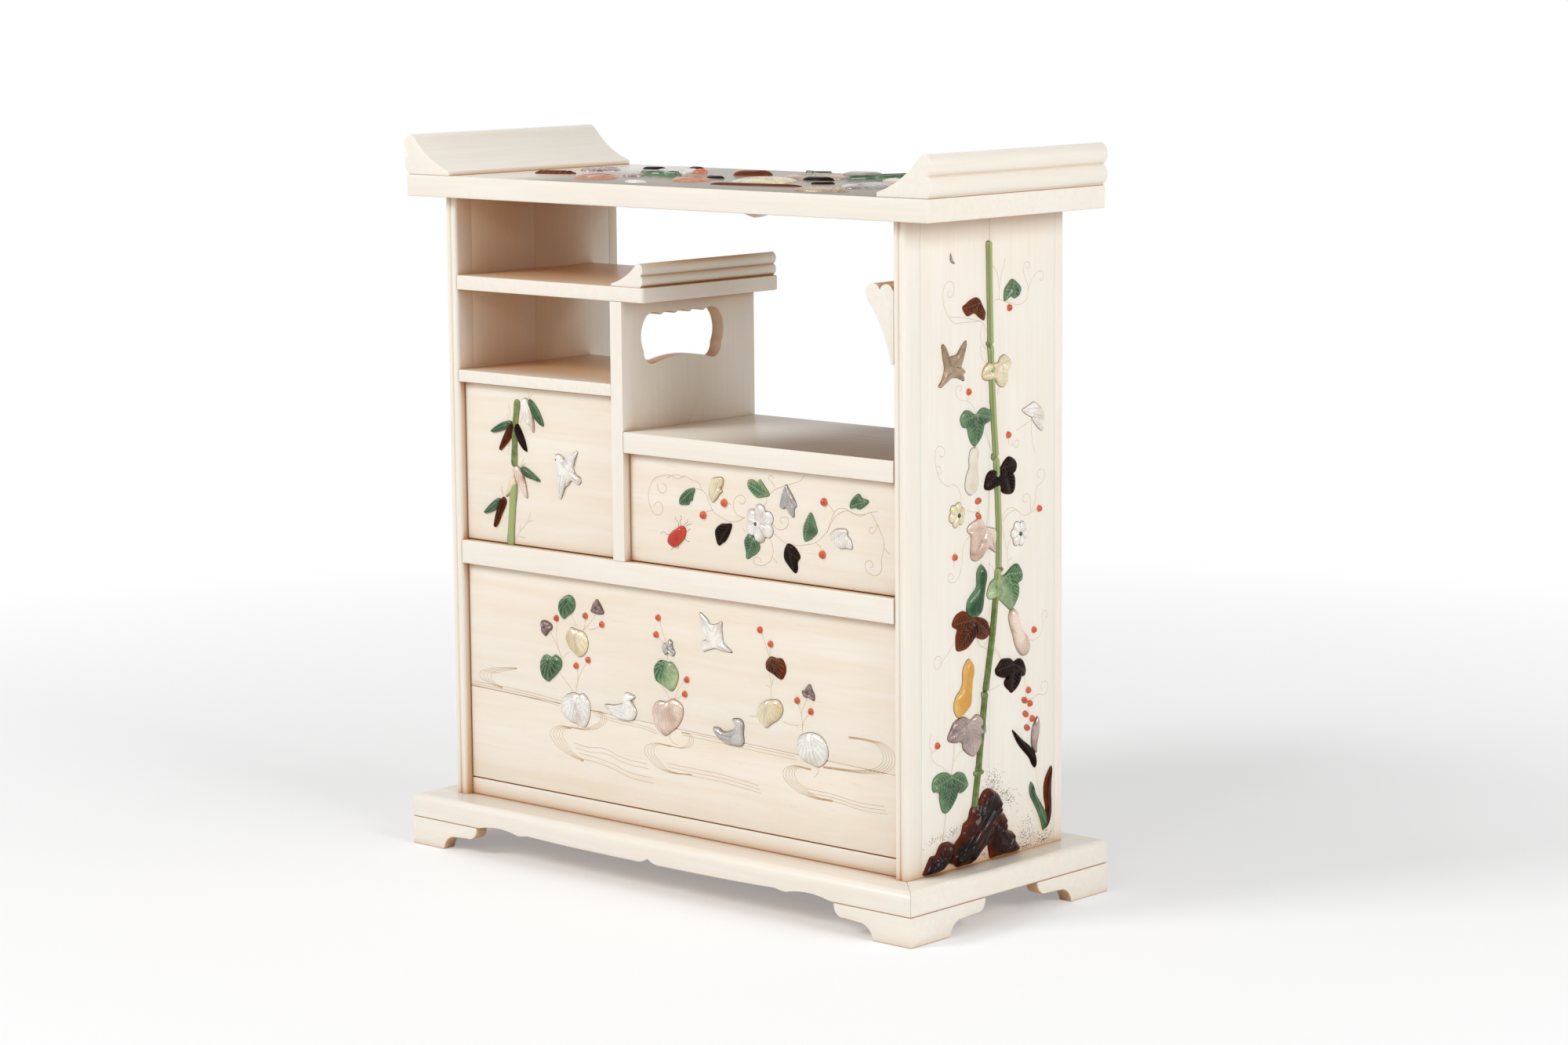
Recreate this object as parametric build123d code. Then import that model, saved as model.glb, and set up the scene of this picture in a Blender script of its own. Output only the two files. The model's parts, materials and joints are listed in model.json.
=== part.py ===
from build123d import *
import os
from math import atan2, degrees, hypot

# A small table cabinet of open shelves over three drawers, in polished ivory-coloured boards.
# Millimetres. Origin: middle of the footprint, on the surface that the feet stand on.
# +X is the cabinet's right as seen from the front, +Y is the back, +Z is up.

# ---- carcass, driving dimensions ----
body_width = 179.5
body_depth = 68.0
foot_height = 8.4
base_thickness = 7.0
side_thickness = 4.4
front_stile_depth = 6.5
back_stile_depth = 3.4
left_plank_depth = 26.1        # front plank of the left side; the back plank takes the rest
right_plank_depth = 29.3       # front plank of the right side
reed_groove = 0.5              # depth of the groove between the two reeds of a front stile

# ---- top ----
top_width = 203.0
top_depth = 77.0
top_thickness = 6.4
top_corner_round = 0.8
top_rail_width = 19.0
top_rail_height = 11.8
top_rail_proud = 0.9           # how far the rail's beads stand past the end of the top
rail_end_inset = 0.4
valance_height = 3.6
valance_cusp_drop = 1.3
valance_cusp_half = 5.0
valance_thickness = 3.0
valance_setback = 38.0         # from the body's front to the valance's face

# ---- shelves and partition ----
shelf_depth = 56.0
upper_bay_height = 23.2        # from the upper shelf to the top board
upper_shelf_thickness = 4.3
upper_shelf_reach = 77.1       # length of the upper shelf from the left side
upper_shelf_depth = 57.5
shelf_end_round = 1.2
shelf_rail_width = 12.6
shelf_rail_height = 6.9
shelf_rail_inset = 0.5
lower_bay_height = 23.9        # between the two left shelves
lower_shelf_thickness = 3.6
middle_shelf_thickness = 6.1
partition_thickness = 4.6
left_bay_width = 63.9
bracket_projection = 10.0
bracket_height = 21.7
bracket_rise = 5.9             # how far the wall moulding reaches above the upper shelf

# ---- hand hole in the partition ----
hole_length = 34.6
hole_height = 14.6
hole_setback = 8.1             # from the partition's front edge
hole_drop = 3.9                # from the partition's top to the hole's lobes
hole_lobes = 5
hole_lobe_rise = 0.9
hole_arch_rise = 1.5
hole_corner = 2.4

# ---- rails, dust board, floor and back ----
mid_rail_height = 7.0          # the rail between the drawer tiers
mid_rail_depth = 8.0
bottom_rail_height = 5.0
bottom_rail_depth = 5.0
dust_board_thickness = 3.0
kicker_width = 4.0
back_thickness = 3.0

# ---- drawers ----
wide_opening_height = 65.9
left_opening_height = 47.7
right_opening_height = 31.7
drawer_gap = 0.3               # running clearance all round a drawer
drawer_recess = 2.5            # how far the fronts lie behind the stiles
drawer_front_thickness = 3.6
drawer_side_thickness = 2.6
drawer_back_thickness = 2.4
drawer_bottom_thickness = 2.0
drawer_rear_gap = 1.0
drawer_rabbet = 1.6            # the sides sit this deep in the front
wide_joint_left = 28.3         # height of the plank joint in the wide front, left and right end
wide_joint_right = 23.4

# ---- base and feet ----
base_width = 198.5
base_depth = 87.0
base_rail_width = 18.0
base_nosing = 2.2
base_lower_round = 0.6
apron_half = 70.8              # half length of the shaped part of the front's lower edge
apron_rise = 1.3
foot_thickness = 4.5
foot_front_length = 28.0
foot_front_pad = 13.7
foot_side_length = 32.0
foot_side_pad = 16.8
foot_ledge_height = 4.2
foot_cove = 4.0

# ---- raised inlay ----
inlay_height = 0.9
shell_height = 1.4
berry_diameter = 1.9
stem_width = 1.9

# ---- levels and places that follow ----
front_y = -body_depth / 2
back_y = body_depth / 2
base_top = foot_height + base_thickness
floor_top = base_top + bottom_rail_height
mid_rail_under = floor_top + wide_opening_height
mid_rail_level = mid_rail_under + mid_rail_height
dust_board_under = mid_rail_level - dust_board_thickness
lower_shelf_under = mid_rail_level + left_opening_height
lower_shelf_level = lower_shelf_under + lower_shelf_thickness
middle_shelf_under = mid_rail_level + right_opening_height
middle_shelf_level = middle_shelf_under + middle_shelf_thickness
upper_shelf_under = lower_shelf_level + lower_bay_height
upper_shelf_level = upper_shelf_under + upper_shelf_thickness
body_top = upper_shelf_level + upper_bay_height
body_height = body_top - base_top
top_face = body_top + top_thickness
bracket_under = upper_shelf_level + bracket_rise - bracket_height
outer_x = body_width / 2
inner_x = outer_x - side_thickness
shelf_back_y = front_y + shelf_depth
board_back_y = shelf_back_y - back_thickness
partition_left = -inner_x + left_bay_width
partition_right = partition_left + partition_thickness
drawer_front_y = front_y + drawer_recess

parts = {}


# ---- shared forms ----

def board(x_span, y_span, z_span):
    """A flat board between two limits along each axis."""
    size = [high - low for low, high in (x_span, y_span, z_span)]
    return Pos(x_span[0], y_span[0], z_span[0]) * Box(*size, align=(Align.MIN,) * 3)


def rail_face(width, height):
    """Section of the upturned moulding: toe at x = 0, two beads on its outer side at x = width."""
    toe = 0.11 * height
    bead_depth = 0.075 * width
    waist = width - bead_depth
    sweep_end = (0.76 * width, 0.88 * height)
    crest = (waist - 0.4 * bead_depth, height)
    edge = [
        Line((0, 0), (0, toe)),
        ThreePointArc((0, toe), (0.44 * width, 0.43 * height), sweep_end),
        ThreePointArc(sweep_end, (0.82 * width, 0.968 * height), crest),
        ThreePointArc(crest, (width, 0.8 * height), (waist, height / 2)),
        ThreePointArc((waist, height / 2), (width, 0.26 * height), (waist, 0.03 * height)),
        Line((waist, 0.03 * height), (waist, 0)),
        Line((waist, 0), (0, 0)),
    ]
    return make_face(edge)


def along_y(face, y_start, length):
    """A section drawn in x and z, run back from y_start."""
    return Pos(0, y_start, 0) * extrude(Plane.XZ * face, -length)


def lens(length, width, bend=0.0):
    """Leaf outline from (0, 0) up to (0, length); bend moves its middle sideways."""
    tip = (0, length)
    middle = 0.45 * length
    left = ThreePointArc((0, 0), (bend - width / 2, middle), tip)
    right = ThreePointArc(tip, (bend + width / 2, middle), (0, 0))
    return make_face([left, right])


def mirrored(points, width, length):
    """Face about x = 0 from the right half of its outline, in shares of width and length."""
    right = [(x * width, y * length) for x, y in points]
    left = [(-x, y) for x, y in reversed(right[1:-1])]
    return make_face(Polyline(*right, *left, close=True))


def vine_leaf(length, width):
    """Ivy leaf about its middle: two round upper lobes and a longer lobe that points down."""
    notch = [(0, 0.34), (0.15, 0.46), (0.33, 0.5), (0.47, 0.38), (0.5, 0.2)]
    flank = [(0.41, 0.07), (0.28, 0.04), (0.21, -0.2), (0.12, -0.4), (0, -0.5)]
    return mirrored(notch + flank, width, length)


def heart_leaf(length, width):
    """Water-plant leaf about its middle: two round shoulders that run down to one tip."""
    shoulder = [(0, 0.34), (0.12, 0.46), (0.3, 0.5), (0.45, 0.36), (0.5, 0.14)]
    return mirrored(shoulder + [(0.41, -0.12), (0.22, -0.36), (0, -0.5)], width, length)


def gourd(length, width):
    """Bottle gourd hanging from its stalk at (0, 0)."""
    neck = [(0, 0), (0.16, -0.03), (0.26, -0.13), (0.26, -0.25), (0.2, -0.38)]
    belly = [(0.26, -0.48), (0.43, -0.61), (0.5, -0.76), (0.41, -0.91), (0.22, -0.99), (0, -1)]
    return mirrored(neck + belly, width, length)


def flower(diameter, petals):
    """Flower whose round edge dips between the petals."""
    pitch = 360 / petals
    rim = [(0.35, -0.5), (0.46, -0.28), (0.5, 0), (0.46, 0.28)]
    points = [
        Vector(0, share * diameter).rotate(Axis.Z, (petal + turn) * pitch)
        for petal in range(petals)
        for share, turn in rim
    ]
    return make_face(Polyline(*points, close=True))


def bird(length, span):
    """Flying bird: body with tail, and two spread wings."""
    flying = Pos(0, -length / 2) * lens(length, 0.3 * length)
    for turn in (-112, 112):
        flying += Pos(0, 0.12 * length) * Rot(0, 0, turn) * lens(span / 2, 0.22 * span)
    return flying


def duck(length):
    """Swimming duck that looks to +x."""
    hull = Pos(-length / 2, 0) * Rot(0, 0, -90) * lens(length, 0.5 * length)
    neck = Pos(0.28 * length, 0) * lens(0.62 * length, 0.26 * length)
    return hull + neck


def fan_shell(size):
    """Fan shell with its hinge at the bottom."""
    rim = [(0, 0.5), (0.2, 0.46), (0.38, 0.31), (0.5, 0.08), (0.45, -0.08), (0.14, -0.4), (0, -0.45)]
    return mirrored(rim, 1.1 * size, size)


def leaf_between(foot, tip, width, bend=0.0):
    """Leaf outline from foot to tip, as a motif placed by its two ends."""
    run = (tip[0] - foot[0], tip[1] - foot[1])
    turn = degrees(atan2(-run[0], run[1]))
    return (lens(hypot(*run), width, bend), foot[0], foot[1], turn)


def boxes_meet(first, second):
    """Whether two flat pieces are close enough to overlap."""
    a, b = first.bounding_box(), second.bounding_box()
    apart_x = a.max.X < b.min.X or b.max.X < a.min.X
    apart_y = a.max.Y < b.min.Y or b.max.Y < a.min.Y
    return not (apart_x or apart_y)


def lay_inlay(plane, groups, height, spread):
    """Raised pieces on a panel, one node per group. Each motif is (face, x, y, turn), and a piece
    is cut to butt against those laid before it. spread is the panel's size over its drawn size."""
    laid = []
    fit = min(spread)
    for name, motifs in groups.items():
        solids = []
        for face, x, y, turn in motifs:
            piece = Pos(x * spread[0], y * spread[1]) * Rot(0, 0, turn) * scale(face, by=fit)
            for other in laid:
                if boxes_meet(piece, other):
                    piece -= other
            laid.append(piece)
            solids += [extrude(plane * patch, height, dir=plane.z_dir) for patch in piece.faces()]
        parts[name] = Compound(solids)


# ---- sides: a reeded front stile, two planks and a back stile each ----

def front_stile(side):
    """Two round reeds side by side on the front edge."""
    reed = side_thickness / 4
    corner = (Align.MIN, Align.MIN)
    section = Pos(0, reed) * Rectangle(side_thickness, front_stile_depth - reed, align=corner)
    section += Pos(reed, reed_groove) * Rectangle(2 * reed, front_stile_depth - reed_groove, align=corner)
    for reed_middle in (reed, 3 * reed):
        section += Pos(reed_middle, reed) * Circle(reed)
    stile = Pos(inner_x, front_y, base_top) * extrude(section, body_height)
    return stile if side > 0 else mirror(stile, Plane.YZ)


for side, name, plank_depth in ((-1, "left", left_plank_depth), (1, "right", right_plank_depth)):
    thickness = sorted((side * inner_x, side * outer_x))
    height = (base_top, body_top)
    plank_front = front_y + front_stile_depth
    plank_joint = plank_front + plank_depth
    plank_back = back_y - back_stile_depth
    parts[f"{name}_front_stile"] = front_stile(side)
    parts[f"{name}_front_plank"] = board(thickness, (plank_front, plank_joint), height)
    parts[f"{name}_back_plank"] = board(thickness, (plank_joint, plank_back), height)
    parts[f"{name}_back_stile"] = board(thickness, (plank_back, back_y), height)


# ---- top board, its two upturned rails and the cusped valance under it ----

top_board = board((-top_width / 2, top_width / 2), (-top_depth / 2, top_depth / 2), (body_top, top_face))
parts["top_board"] = fillet(top_board.edges().filter_by(Axis.Z), top_corner_round)

rail_length = top_depth - 2 * rail_end_inset
rail_toe_x = top_width / 2 + top_rail_proud - top_rail_width
top_rail = along_y(rail_face(top_rail_width, top_rail_height), -rail_length / 2, rail_length)
top_rail_right = Pos(rail_toe_x, 0, top_face) * top_rail
parts["top_rail_right"] = top_rail_right
parts["top_rail_left"] = mirror(top_rail_right, Plane.YZ)

valance_under = body_top - valance_height
cusp_tip = (0, valance_under - valance_cusp_drop)
cusp_sides = [
    ThreePointArc(
        (side * valance_cusp_half, valance_under),
        (side * 0.45 * valance_cusp_half, valance_under - 0.62 * valance_cusp_drop),
        cusp_tip,
    )
    for side in (-1, 1)
]
valance_face = make_face([
    *cusp_sides,
    Line((-valance_cusp_half, valance_under), (-inner_x, valance_under)),
    Line((-inner_x, valance_under), (-inner_x, body_top)),
    Line((-inner_x, body_top), (inner_x, body_top)),
    Line((inner_x, body_top), (inner_x, valance_under)),
    Line((inner_x, valance_under), (valance_cusp_half, valance_under)),
])
parts["top_valance"] = along_y(valance_face, front_y + valance_setback, valance_thickness)


# ---- shelves, the partition with its hand hole, and the moulding on shelf and wall ----

shelf_end_x = -inner_x + upper_shelf_reach
upper_shelf = board(
    (-inner_x, shelf_end_x),
    (front_y, front_y + upper_shelf_depth),
    (upper_shelf_under, upper_shelf_level),
)
shelf_end_edges = upper_shelf.edges().filter_by(Axis.Z).sort_by(Axis.X)[-2:]
parts["upper_shelf"] = fillet(shelf_end_edges, shelf_end_round)

shelf_rail_length = upper_shelf_depth - 2 * shelf_rail_inset
shelf_rail_x = shelf_end_x - shelf_rail_inset - shelf_rail_width
shelf_rail = along_y(rail_face(shelf_rail_width, shelf_rail_height), front_y + shelf_rail_inset, shelf_rail_length)
parts["upper_shelf_rail"] = Pos(shelf_rail_x, 0, upper_shelf_level) * shelf_rail

# The same moulding turned on to the right wall, beads up, as the shelf rail's counterpart.
wall_section = Rot(0, 0, 90) * rail_face(bracket_height, bracket_projection)
wall_rail = along_y(wall_section, front_y + shelf_rail_inset, shelf_rail_length)
parts["right_wall_bracket"] = Pos(inner_x, 0, bracket_under) * wall_rail

parts["lower_shelf"] = board(
    (-inner_x, partition_left), (front_y, shelf_back_y), (lower_shelf_under, lower_shelf_level)
)
parts["middle_shelf"] = board(
    (partition_right, inner_x), (front_y, shelf_back_y), (middle_shelf_under, middle_shelf_level)
)


def hand_hole():
    """Outline of the hole, drawn with the partition's front edge at x = 0 and height as y."""
    high = upper_shelf_under - hole_drop - hole_lobe_rise
    low = high - hole_height + hole_lobe_rise
    left = hole_setback
    right = left + hole_length
    lobe_left = left + hole_corner
    lobe = (hole_length - 2 * hole_corner) / hole_lobes
    edge = []
    for index in range(hole_lobes):
        start = lobe_left + index * lobe
        edge.append(ThreePointArc((start, high), (start + lobe / 2, high + hole_lobe_rise), (start + lobe, high)))
    shoulder = 0.25 * hole_height
    swell = 0.5 * hole_height
    foot_in = 2.5 * hole_corner
    for near, inward in ((left, 1), (right, -1)):
        corner = (near + inward * hole_corner, high)
        knee = (near + inward * 0.45 * hole_corner, low + shoulder)
        toe = (near + inward * foot_in, low)
        edge.append(ThreePointArc(corner, (near, low + swell), knee))
        edge.append(ThreePointArc(knee, (near + inward * 1.4 * hole_corner, low - 0.05), toe))
    arch_left = (left + foot_in, low)
    arch_right = (right - foot_in, low)
    edge.append(ThreePointArc(arch_left, ((left + right) / 2, low + hole_arch_rise), arch_right))
    return make_face(edge)


partition = board((partition_left, partition_right), (front_y, shelf_back_y), (mid_rail_level, upper_shelf_under))
hole_plane = Plane(origin=(partition_left - 1, front_y, 0), x_dir=(0, 1, 0), z_dir=(1, 0, 0))
parts["partition"] = partition - extrude(hole_plane * hand_hole(), partition_thickness + 2)


# ---- rails between the drawers, dust board, kickers, floor and back ----

inner_span = (-inner_x, inner_x)
parts["mid_rail"] = board(inner_span, (front_y, front_y + mid_rail_depth), (mid_rail_under, mid_rail_level))
parts["dust_board"] = board(
    inner_span, (front_y + mid_rail_depth, shelf_back_y), (dust_board_under, mid_rail_level)
)
kicker_y = (front_y + mid_rail_depth, board_back_y)
kickers = [
    board(sorted((side * inner_x, side * (inner_x - kicker_width))), kicker_y, (mid_rail_under, dust_board_under))
    for side in (-1, 1)
]
parts["kickers"] = Compound(kickers)
bottom_rail_y = (drawer_front_y, drawer_front_y + bottom_rail_depth)
parts["bottom_rail"] = board(inner_span, bottom_rail_y, (base_top, floor_top))
parts["floor_board"] = board(inner_span, (bottom_rail_y[1], back_y), (base_top, floor_top))

back_y_span = (board_back_y, shelf_back_y)
parts["back_lower"] = board(inner_span, back_y_span, (floor_top, dust_board_under))
parts["back_upper_left"] = board((-inner_x, partition_left), back_y_span, (mid_rail_level, lower_shelf_under))
parts["back_upper_right"] = board((partition_right, inner_x), back_y_span, (mid_rail_level, middle_shelf_under))


# ---- base: four mitred boards with a rounded nose, the front one with a shaped lower edge ----

base_block = Pos(0, 0, foot_height) * Box(
    base_width, base_depth, base_thickness, align=(Align.CENTER, Align.CENTER, Align.MIN)
)
base_block = fillet(base_block.edges().group_by(Axis.Z)[-1], base_nosing)
base_block = fillet(base_block.edges().group_by(Axis.Z)[0], base_lower_round)
opening = Pos(0, 0, foot_height) * Box(
    base_width - 2 * base_rail_width,
    base_depth - 2 * base_rail_width,
    base_thickness,
    align=(Align.CENTER, Align.CENTER, Align.MIN),
)
base_ring = base_block - opening


def base_region(side_x, side_y):
    """The part of the plan that one mitred base board covers."""
    half_x = base_width / 2
    half_y = base_depth / 2
    reach = base_rail_width
    if side_y:
        outer = [(-half_x, side_y * half_y), (half_x, side_y * half_y)]
        inner = [(half_x - reach, side_y * (half_y - reach)), (-half_x + reach, side_y * (half_y - reach))]
    else:
        outer = [(side_x * half_x, -half_y), (side_x * half_x, half_y)]
        inner = [(side_x * (half_x - reach), half_y - reach), (side_x * (half_x - reach), -half_y + reach)]
    return extrude(make_face(Polyline(*outer, *inner, close=True)), base_top)


def apron_cut():
    """What is cut away under the front board: a notch in the middle and an arch at each foot."""
    middle_rise = 1.15 * apron_rise
    shoulder = (0.7 * apron_half, 0.62 * apron_rise)
    cusp = (0.75 * apron_half, 0.1 * apron_rise)
    belly = (0.085 * apron_half, 0.0)
    half = [
        ThreePointArc((0, middle_rise), (0.4 * belly[0], 0.3 * apron_rise), belly),
        ThreePointArc(belly, (0.4 * apron_half, 0.18 * apron_rise), shoulder),
        Line(shoulder, cusp),
        ThreePointArc(cusp, (0.89 * apron_half, apron_rise), (apron_half, 0)),
        Line((apron_half, 0), (apron_half, -1)),
        Line((apron_half, -1), (0, -1)),
        Line((0, -1), (0, middle_rise)),
    ]
    right_half = make_face(half)
    return right_half + mirror(right_half, Plane.YZ)


apron_tool = Pos(0, 0, foot_height) * along_y(apron_cut(), -base_depth / 2 - 1, base_rail_width + 2)
parts["base_front"] = (base_ring & base_region(0, -1)) - apron_tool
parts["base_back"] = base_ring & base_region(0, 1)
parts["base_left"] = base_ring & base_region(-1, 0)
parts["base_right"] = base_ring & base_region(1, 0)


# ---- bracket feet: two mitred wings under each corner of the base ----

def wing_face(length, pad):
    """Outline of one wing, its corner at x = 0 and its tip at x = length."""
    ledge = foot_ledge_height
    cove_end = (pad + foot_cove, ledge)
    lip = (length - foot_cove, ledge + 0.4)
    tip = (length, foot_height)
    cove_bend = (pad + 0.3 * foot_cove, 0.62 * ledge)
    lip_bend = (length - 0.25 * foot_cove, ledge + 0.3 * (foot_height - ledge))
    return make_face([
        Line((0, 0), (pad, 0)),
        ThreePointArc((pad, 0), cove_bend, cove_end),
        Line(cove_end, lip),
        ThreePointArc(lip, lip_bend, tip),
        Line(tip, (0, foot_height)),
        Line((0, foot_height), (0, 0)),
    ])


front_wing = along_y(wing_face(foot_front_length, foot_front_pad), 0, foot_thickness)
side_plane = Plane(origin=(0, 0, 0), x_dir=(0, 1, 0), z_dir=(1, 0, 0))
side_wing = extrude(side_plane * wing_face(foot_side_length, foot_side_pad), foot_thickness)
corner_foot = Pos(-base_width / 2, -base_depth / 2, 0) * (front_wing + side_wing)
parts["foot_front_left"] = corner_foot
parts["foot_front_right"] = mirror(corner_foot, Plane.YZ)
parts["foot_back_left"] = mirror(corner_foot, Plane.XZ)
parts["foot_back_right"] = mirror(mirror(corner_foot, Plane.YZ), Plane.XZ)


# ---- drawers: front, two sides, back and bottom; the sides sit in rebates of the front ----

def drawer(name, x_span, z_span):
    """One drawer in the opening x_span by z_span."""
    left, right = x_span[0] + drawer_gap, x_span[1] - drawer_gap
    low, high = z_span[0] + drawer_gap, z_span[1] - drawer_gap
    front = (drawer_front_y, drawer_front_y + drawer_front_thickness)
    rear = board_back_y - drawer_rear_gap
    side_y = (front[1] - drawer_rabbet, rear)
    side_left = board((left, left + drawer_side_thickness), side_y, (low, high))
    side_right = board((right - drawer_side_thickness, right), side_y, (low, high))
    between = (left + drawer_side_thickness, right - drawer_side_thickness)
    bottom_top = low + drawer_bottom_thickness
    front_board = board((left, right), front, (low, high))
    parts[f"{name}_front"] = front_board - side_left - side_right
    parts[f"{name}_side_left"] = side_left
    parts[f"{name}_side_right"] = side_right
    parts[f"{name}_bottom"] = board(between, (front[1], rear), (low, bottom_top))
    parts[f"{name}_back"] = board(between, (rear - drawer_back_thickness, rear), (bottom_top, high))


left_opening = ((-inner_x, partition_left), (mid_rail_level, lower_shelf_under))
right_opening = ((partition_right, inner_x), (mid_rail_level, middle_shelf_under))
wide_opening = ((-inner_x, inner_x), (floor_top, mid_rail_under))
drawer("left_drawer", *left_opening)
drawer("right_drawer", *right_opening)
drawer("wide_drawer", *wide_opening)

# The wide front is two planks with a joint that runs slightly downhill.
wide_front = parts.pop("wide_drawer_front")
lower_plank = make_face(Polyline(
    (-body_width, 0),
    (body_width, 0),
    (inner_x, floor_top + wide_joint_right),
    (-inner_x, floor_top + wide_joint_left),
    close=True,
))
lower_region = along_y(lower_plank, front_y, body_depth)
parts["wide_drawer_front_lower"] = wide_front & lower_region
parts["wide_drawer_front_upper"] = wide_front - lower_region


# ---- raised inlay; places are measured on each panel as drawn and move with its size ----

berry = RegularPolygon(berry_diameter / 2, 10)


def berries(places):
    return [(berry, x, y, 0) for x, y in places]


# Right side: x runs back from the front edge, y is the height above the base.
side_spread = (body_depth / 68.0, body_height / 180.6)
side_panel = Plane(origin=(outer_x, front_y, base_top), x_dir=(0, 1, 0), z_dir=(1, 0, 0))
rock = make_face(Polyline(
    (-21.1, 0.3), (-15.6, 4.8), (-13.9, 7.5), (-8.3, 6.1), (-3.7, 11.9), (0.7, 16.5),
    (5.1, 19.6), (9.9, 18.0), (12.6, 12.4), (15.0, 6.7), (20.7, 0.3), (7.2, 0.0),
    (6.9, 4.3), (1.0, 0.0), (-7.5, 0.2), (-9.6, 1.8), (-12.5, 0.0),
    close=True,
))
stem_points = [(35.4, 172.8), (35.8, 145.2), (37.6, 113.9), (39.4, 92.6), (37.5, 70.5), (34.1, 50.0), (30.0, 18.6)]
side_groups = {
    "side_inlay_rock": [(rock, 28.0, 0.5, 0)],
    "side_inlay_leaves": [
        (vine_leaf(6.4, 7.6), 45.7, 159.2, -25),
        (vine_leaf(6.4, 9.6), 29.1, 155.0, 165),
        (vine_leaf(8.6, 11.6), 38.9, 136.9, 35),
        (vine_leaf(10.4, 13.6), 29.8, 122.4, -2),
        (vine_leaf(10.6, 13.0), 40.6, 107.6, 30),
        (vine_leaf(12.0, 11.6), 31.8, 91.2, -35),
        (vine_leaf(12.4, 14.4), 42.6, 76.2, 15),
        (vine_leaf(10.8, 15.0), 27.4, 66.4, -22),
        (vine_leaf(10.0, 12.8), 45.0, 51.2, -6),
        (vine_leaf(11.2, 15.6), 25.8, 36.6, 14),
        (vine_leaf(11.4, 15.4), 18.4, 22.2, -6),
        leaf_between((55.7, 23.2), (46.2, 35.3), 2.4, -0.4),
        leaf_between((55.3, 27.1), (57.1, 37.6), 2.0, 0.4),
        leaf_between((60.2, 4.4), (53.9, 18.9), 2.6, -0.5),
        leaf_between((60.8, 4.8), (63.2, 22.2), 2.8, 0.6),
    ],
    "side_inlay_fruit": [
        (gourd(14.0, 5.6), 28.4, 117.8, -4),
        (gourd(16.2, 7.0), 31.7, 84.8, -10),
        (gourd(16.6, 6.4), 46.2, 72.2, 14),
        (gourd(17.6, 7.2), 26.8, 59.6, -12),
        *berries([
            (44.3, 152.8), (26.7, 132.3), (44.0, 119.0), (30.7, 101.6), (57.6, 96.9), (20.6, 87.3), (55.3, 62.6),
            (52.8, 45.7), (51.0, 42.6), (53.4, 41.6), (51.6, 38.5), (54.4, 37.0), (52.1, 34.2), (13.0, 36.0),
        ]),
    ],
    "side_inlay_blooms": [
        (bird(13.0, 17.0), 20.0, 140.2, -28),
        (flower(6.9, 6), 21.6, 98.9, 0),
        (flower(6.9, 6), 48.6, 90.8, 15),
        leaf_between((51.5, 123.6), (56.6, 127.0), 3.6),
        leaf_between((54.4, 122.2), (58.6, 119.2), 3.0),
    ],
    "side_inlay_stem": [(trace(Polyline(*stem_points), stem_width), 0, 0, 0)],
}
lay_inlay(side_panel, side_groups, inlay_height, side_spread)


def lay_front(opening, drawn, groups):
    """Inlay on a drawer front, measured from the lower left corner of the drawer's opening."""
    (left, right), (low, high) = opening
    panel = Plane(origin=(left, drawer_front_y, low), x_dir=(1, 0, 0), z_dir=(0, -1, 0))
    lay_inlay(panel, groups, inlay_height, ((right - left) / drawn[0], (high - low) / drawn[1]))


# Small left drawer: bamboo with its leaves, and a bird.
bamboo_leaves = [
    leaf_between((28.0, 43.6), (33.3, 36.8), 2.2),
    leaf_between((25.6, 44.1), (28.6, 35.2), 3.8),
    leaf_between((20.4, 37.0), (11.5, 33.3), 2.8),
    leaf_between((20.9, 36.9), (15.0, 28.2), 3.4),
    leaf_between((21.8, 36.4), (26.3, 28.7), 2.6),
    leaf_between((24.2, 23.6), (31.6, 20.3), 2.4),
    leaf_between((21.4, 23.7), (26.2, 15.0), 3.2),
    leaf_between((20.8, 20.8), (17.5, 14.4), 2.2),
    leaf_between((14.4, 13.6), (8.0, 8.8), 2.8),
    leaf_between((16.2, 14.0), (12.3, 4.9), 2.8),
]
bamboo_stem = trace(Polyline((22.5, 43.0), (21.6, 33.0), (20.6, 21.0), (19.0, 1.2)), 2.3)
lay_front(left_opening, (63.9, 47.7), {
    "left_drawer_inlay": [*bamboo_leaves, (bamboo_stem, 0, 0, 0), (bird(12.5, 16.0), 43.4, 23.4, 28)],
})

# Small right drawer: a flower on a scrolling vine with leaves and berries, and a ladybird.
small_leaves = [
    (23.0, 20.9, 4.4, 3.4, -20), (34.4, 24.0, 6.0, 3.6, -8), (50.3, 25.5, 5.8, 4.4, 50), (61.8, 23.1, 8.0, 4.2, 12),
    (70.0, 16.5, 7.0, 3.8, -8), (88.1, 25.0, 5.2, 4.6, -50), (36.9, 11.5, 6.2, 4.4, -20), (48.1, 8.8, 6.2, 4.4, -12),
    (63.2, 7.0, 7.6, 4.2, 15), (81.2, 14.1, 6.6, 5.0, 30),
]
lay_front(right_opening, (102.1, 31.7), {
    "right_drawer_inlay": [
        (flower(10.0, 6), 50.9, 15.9, 0),
        *[(Pos(0, -length / 2) * lens(length, width), x, y, turn) for x, y, length, width, turn in small_leaves],
        *berries([(37.4, 20.3), (29.2, 16.1), (75.2, 23.8), (74.4, 9.3)]),
        (Pos(0, -3.4) * lens(6.8, 4.0), 18.8, 9.0, -30),
    ],
})

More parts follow.
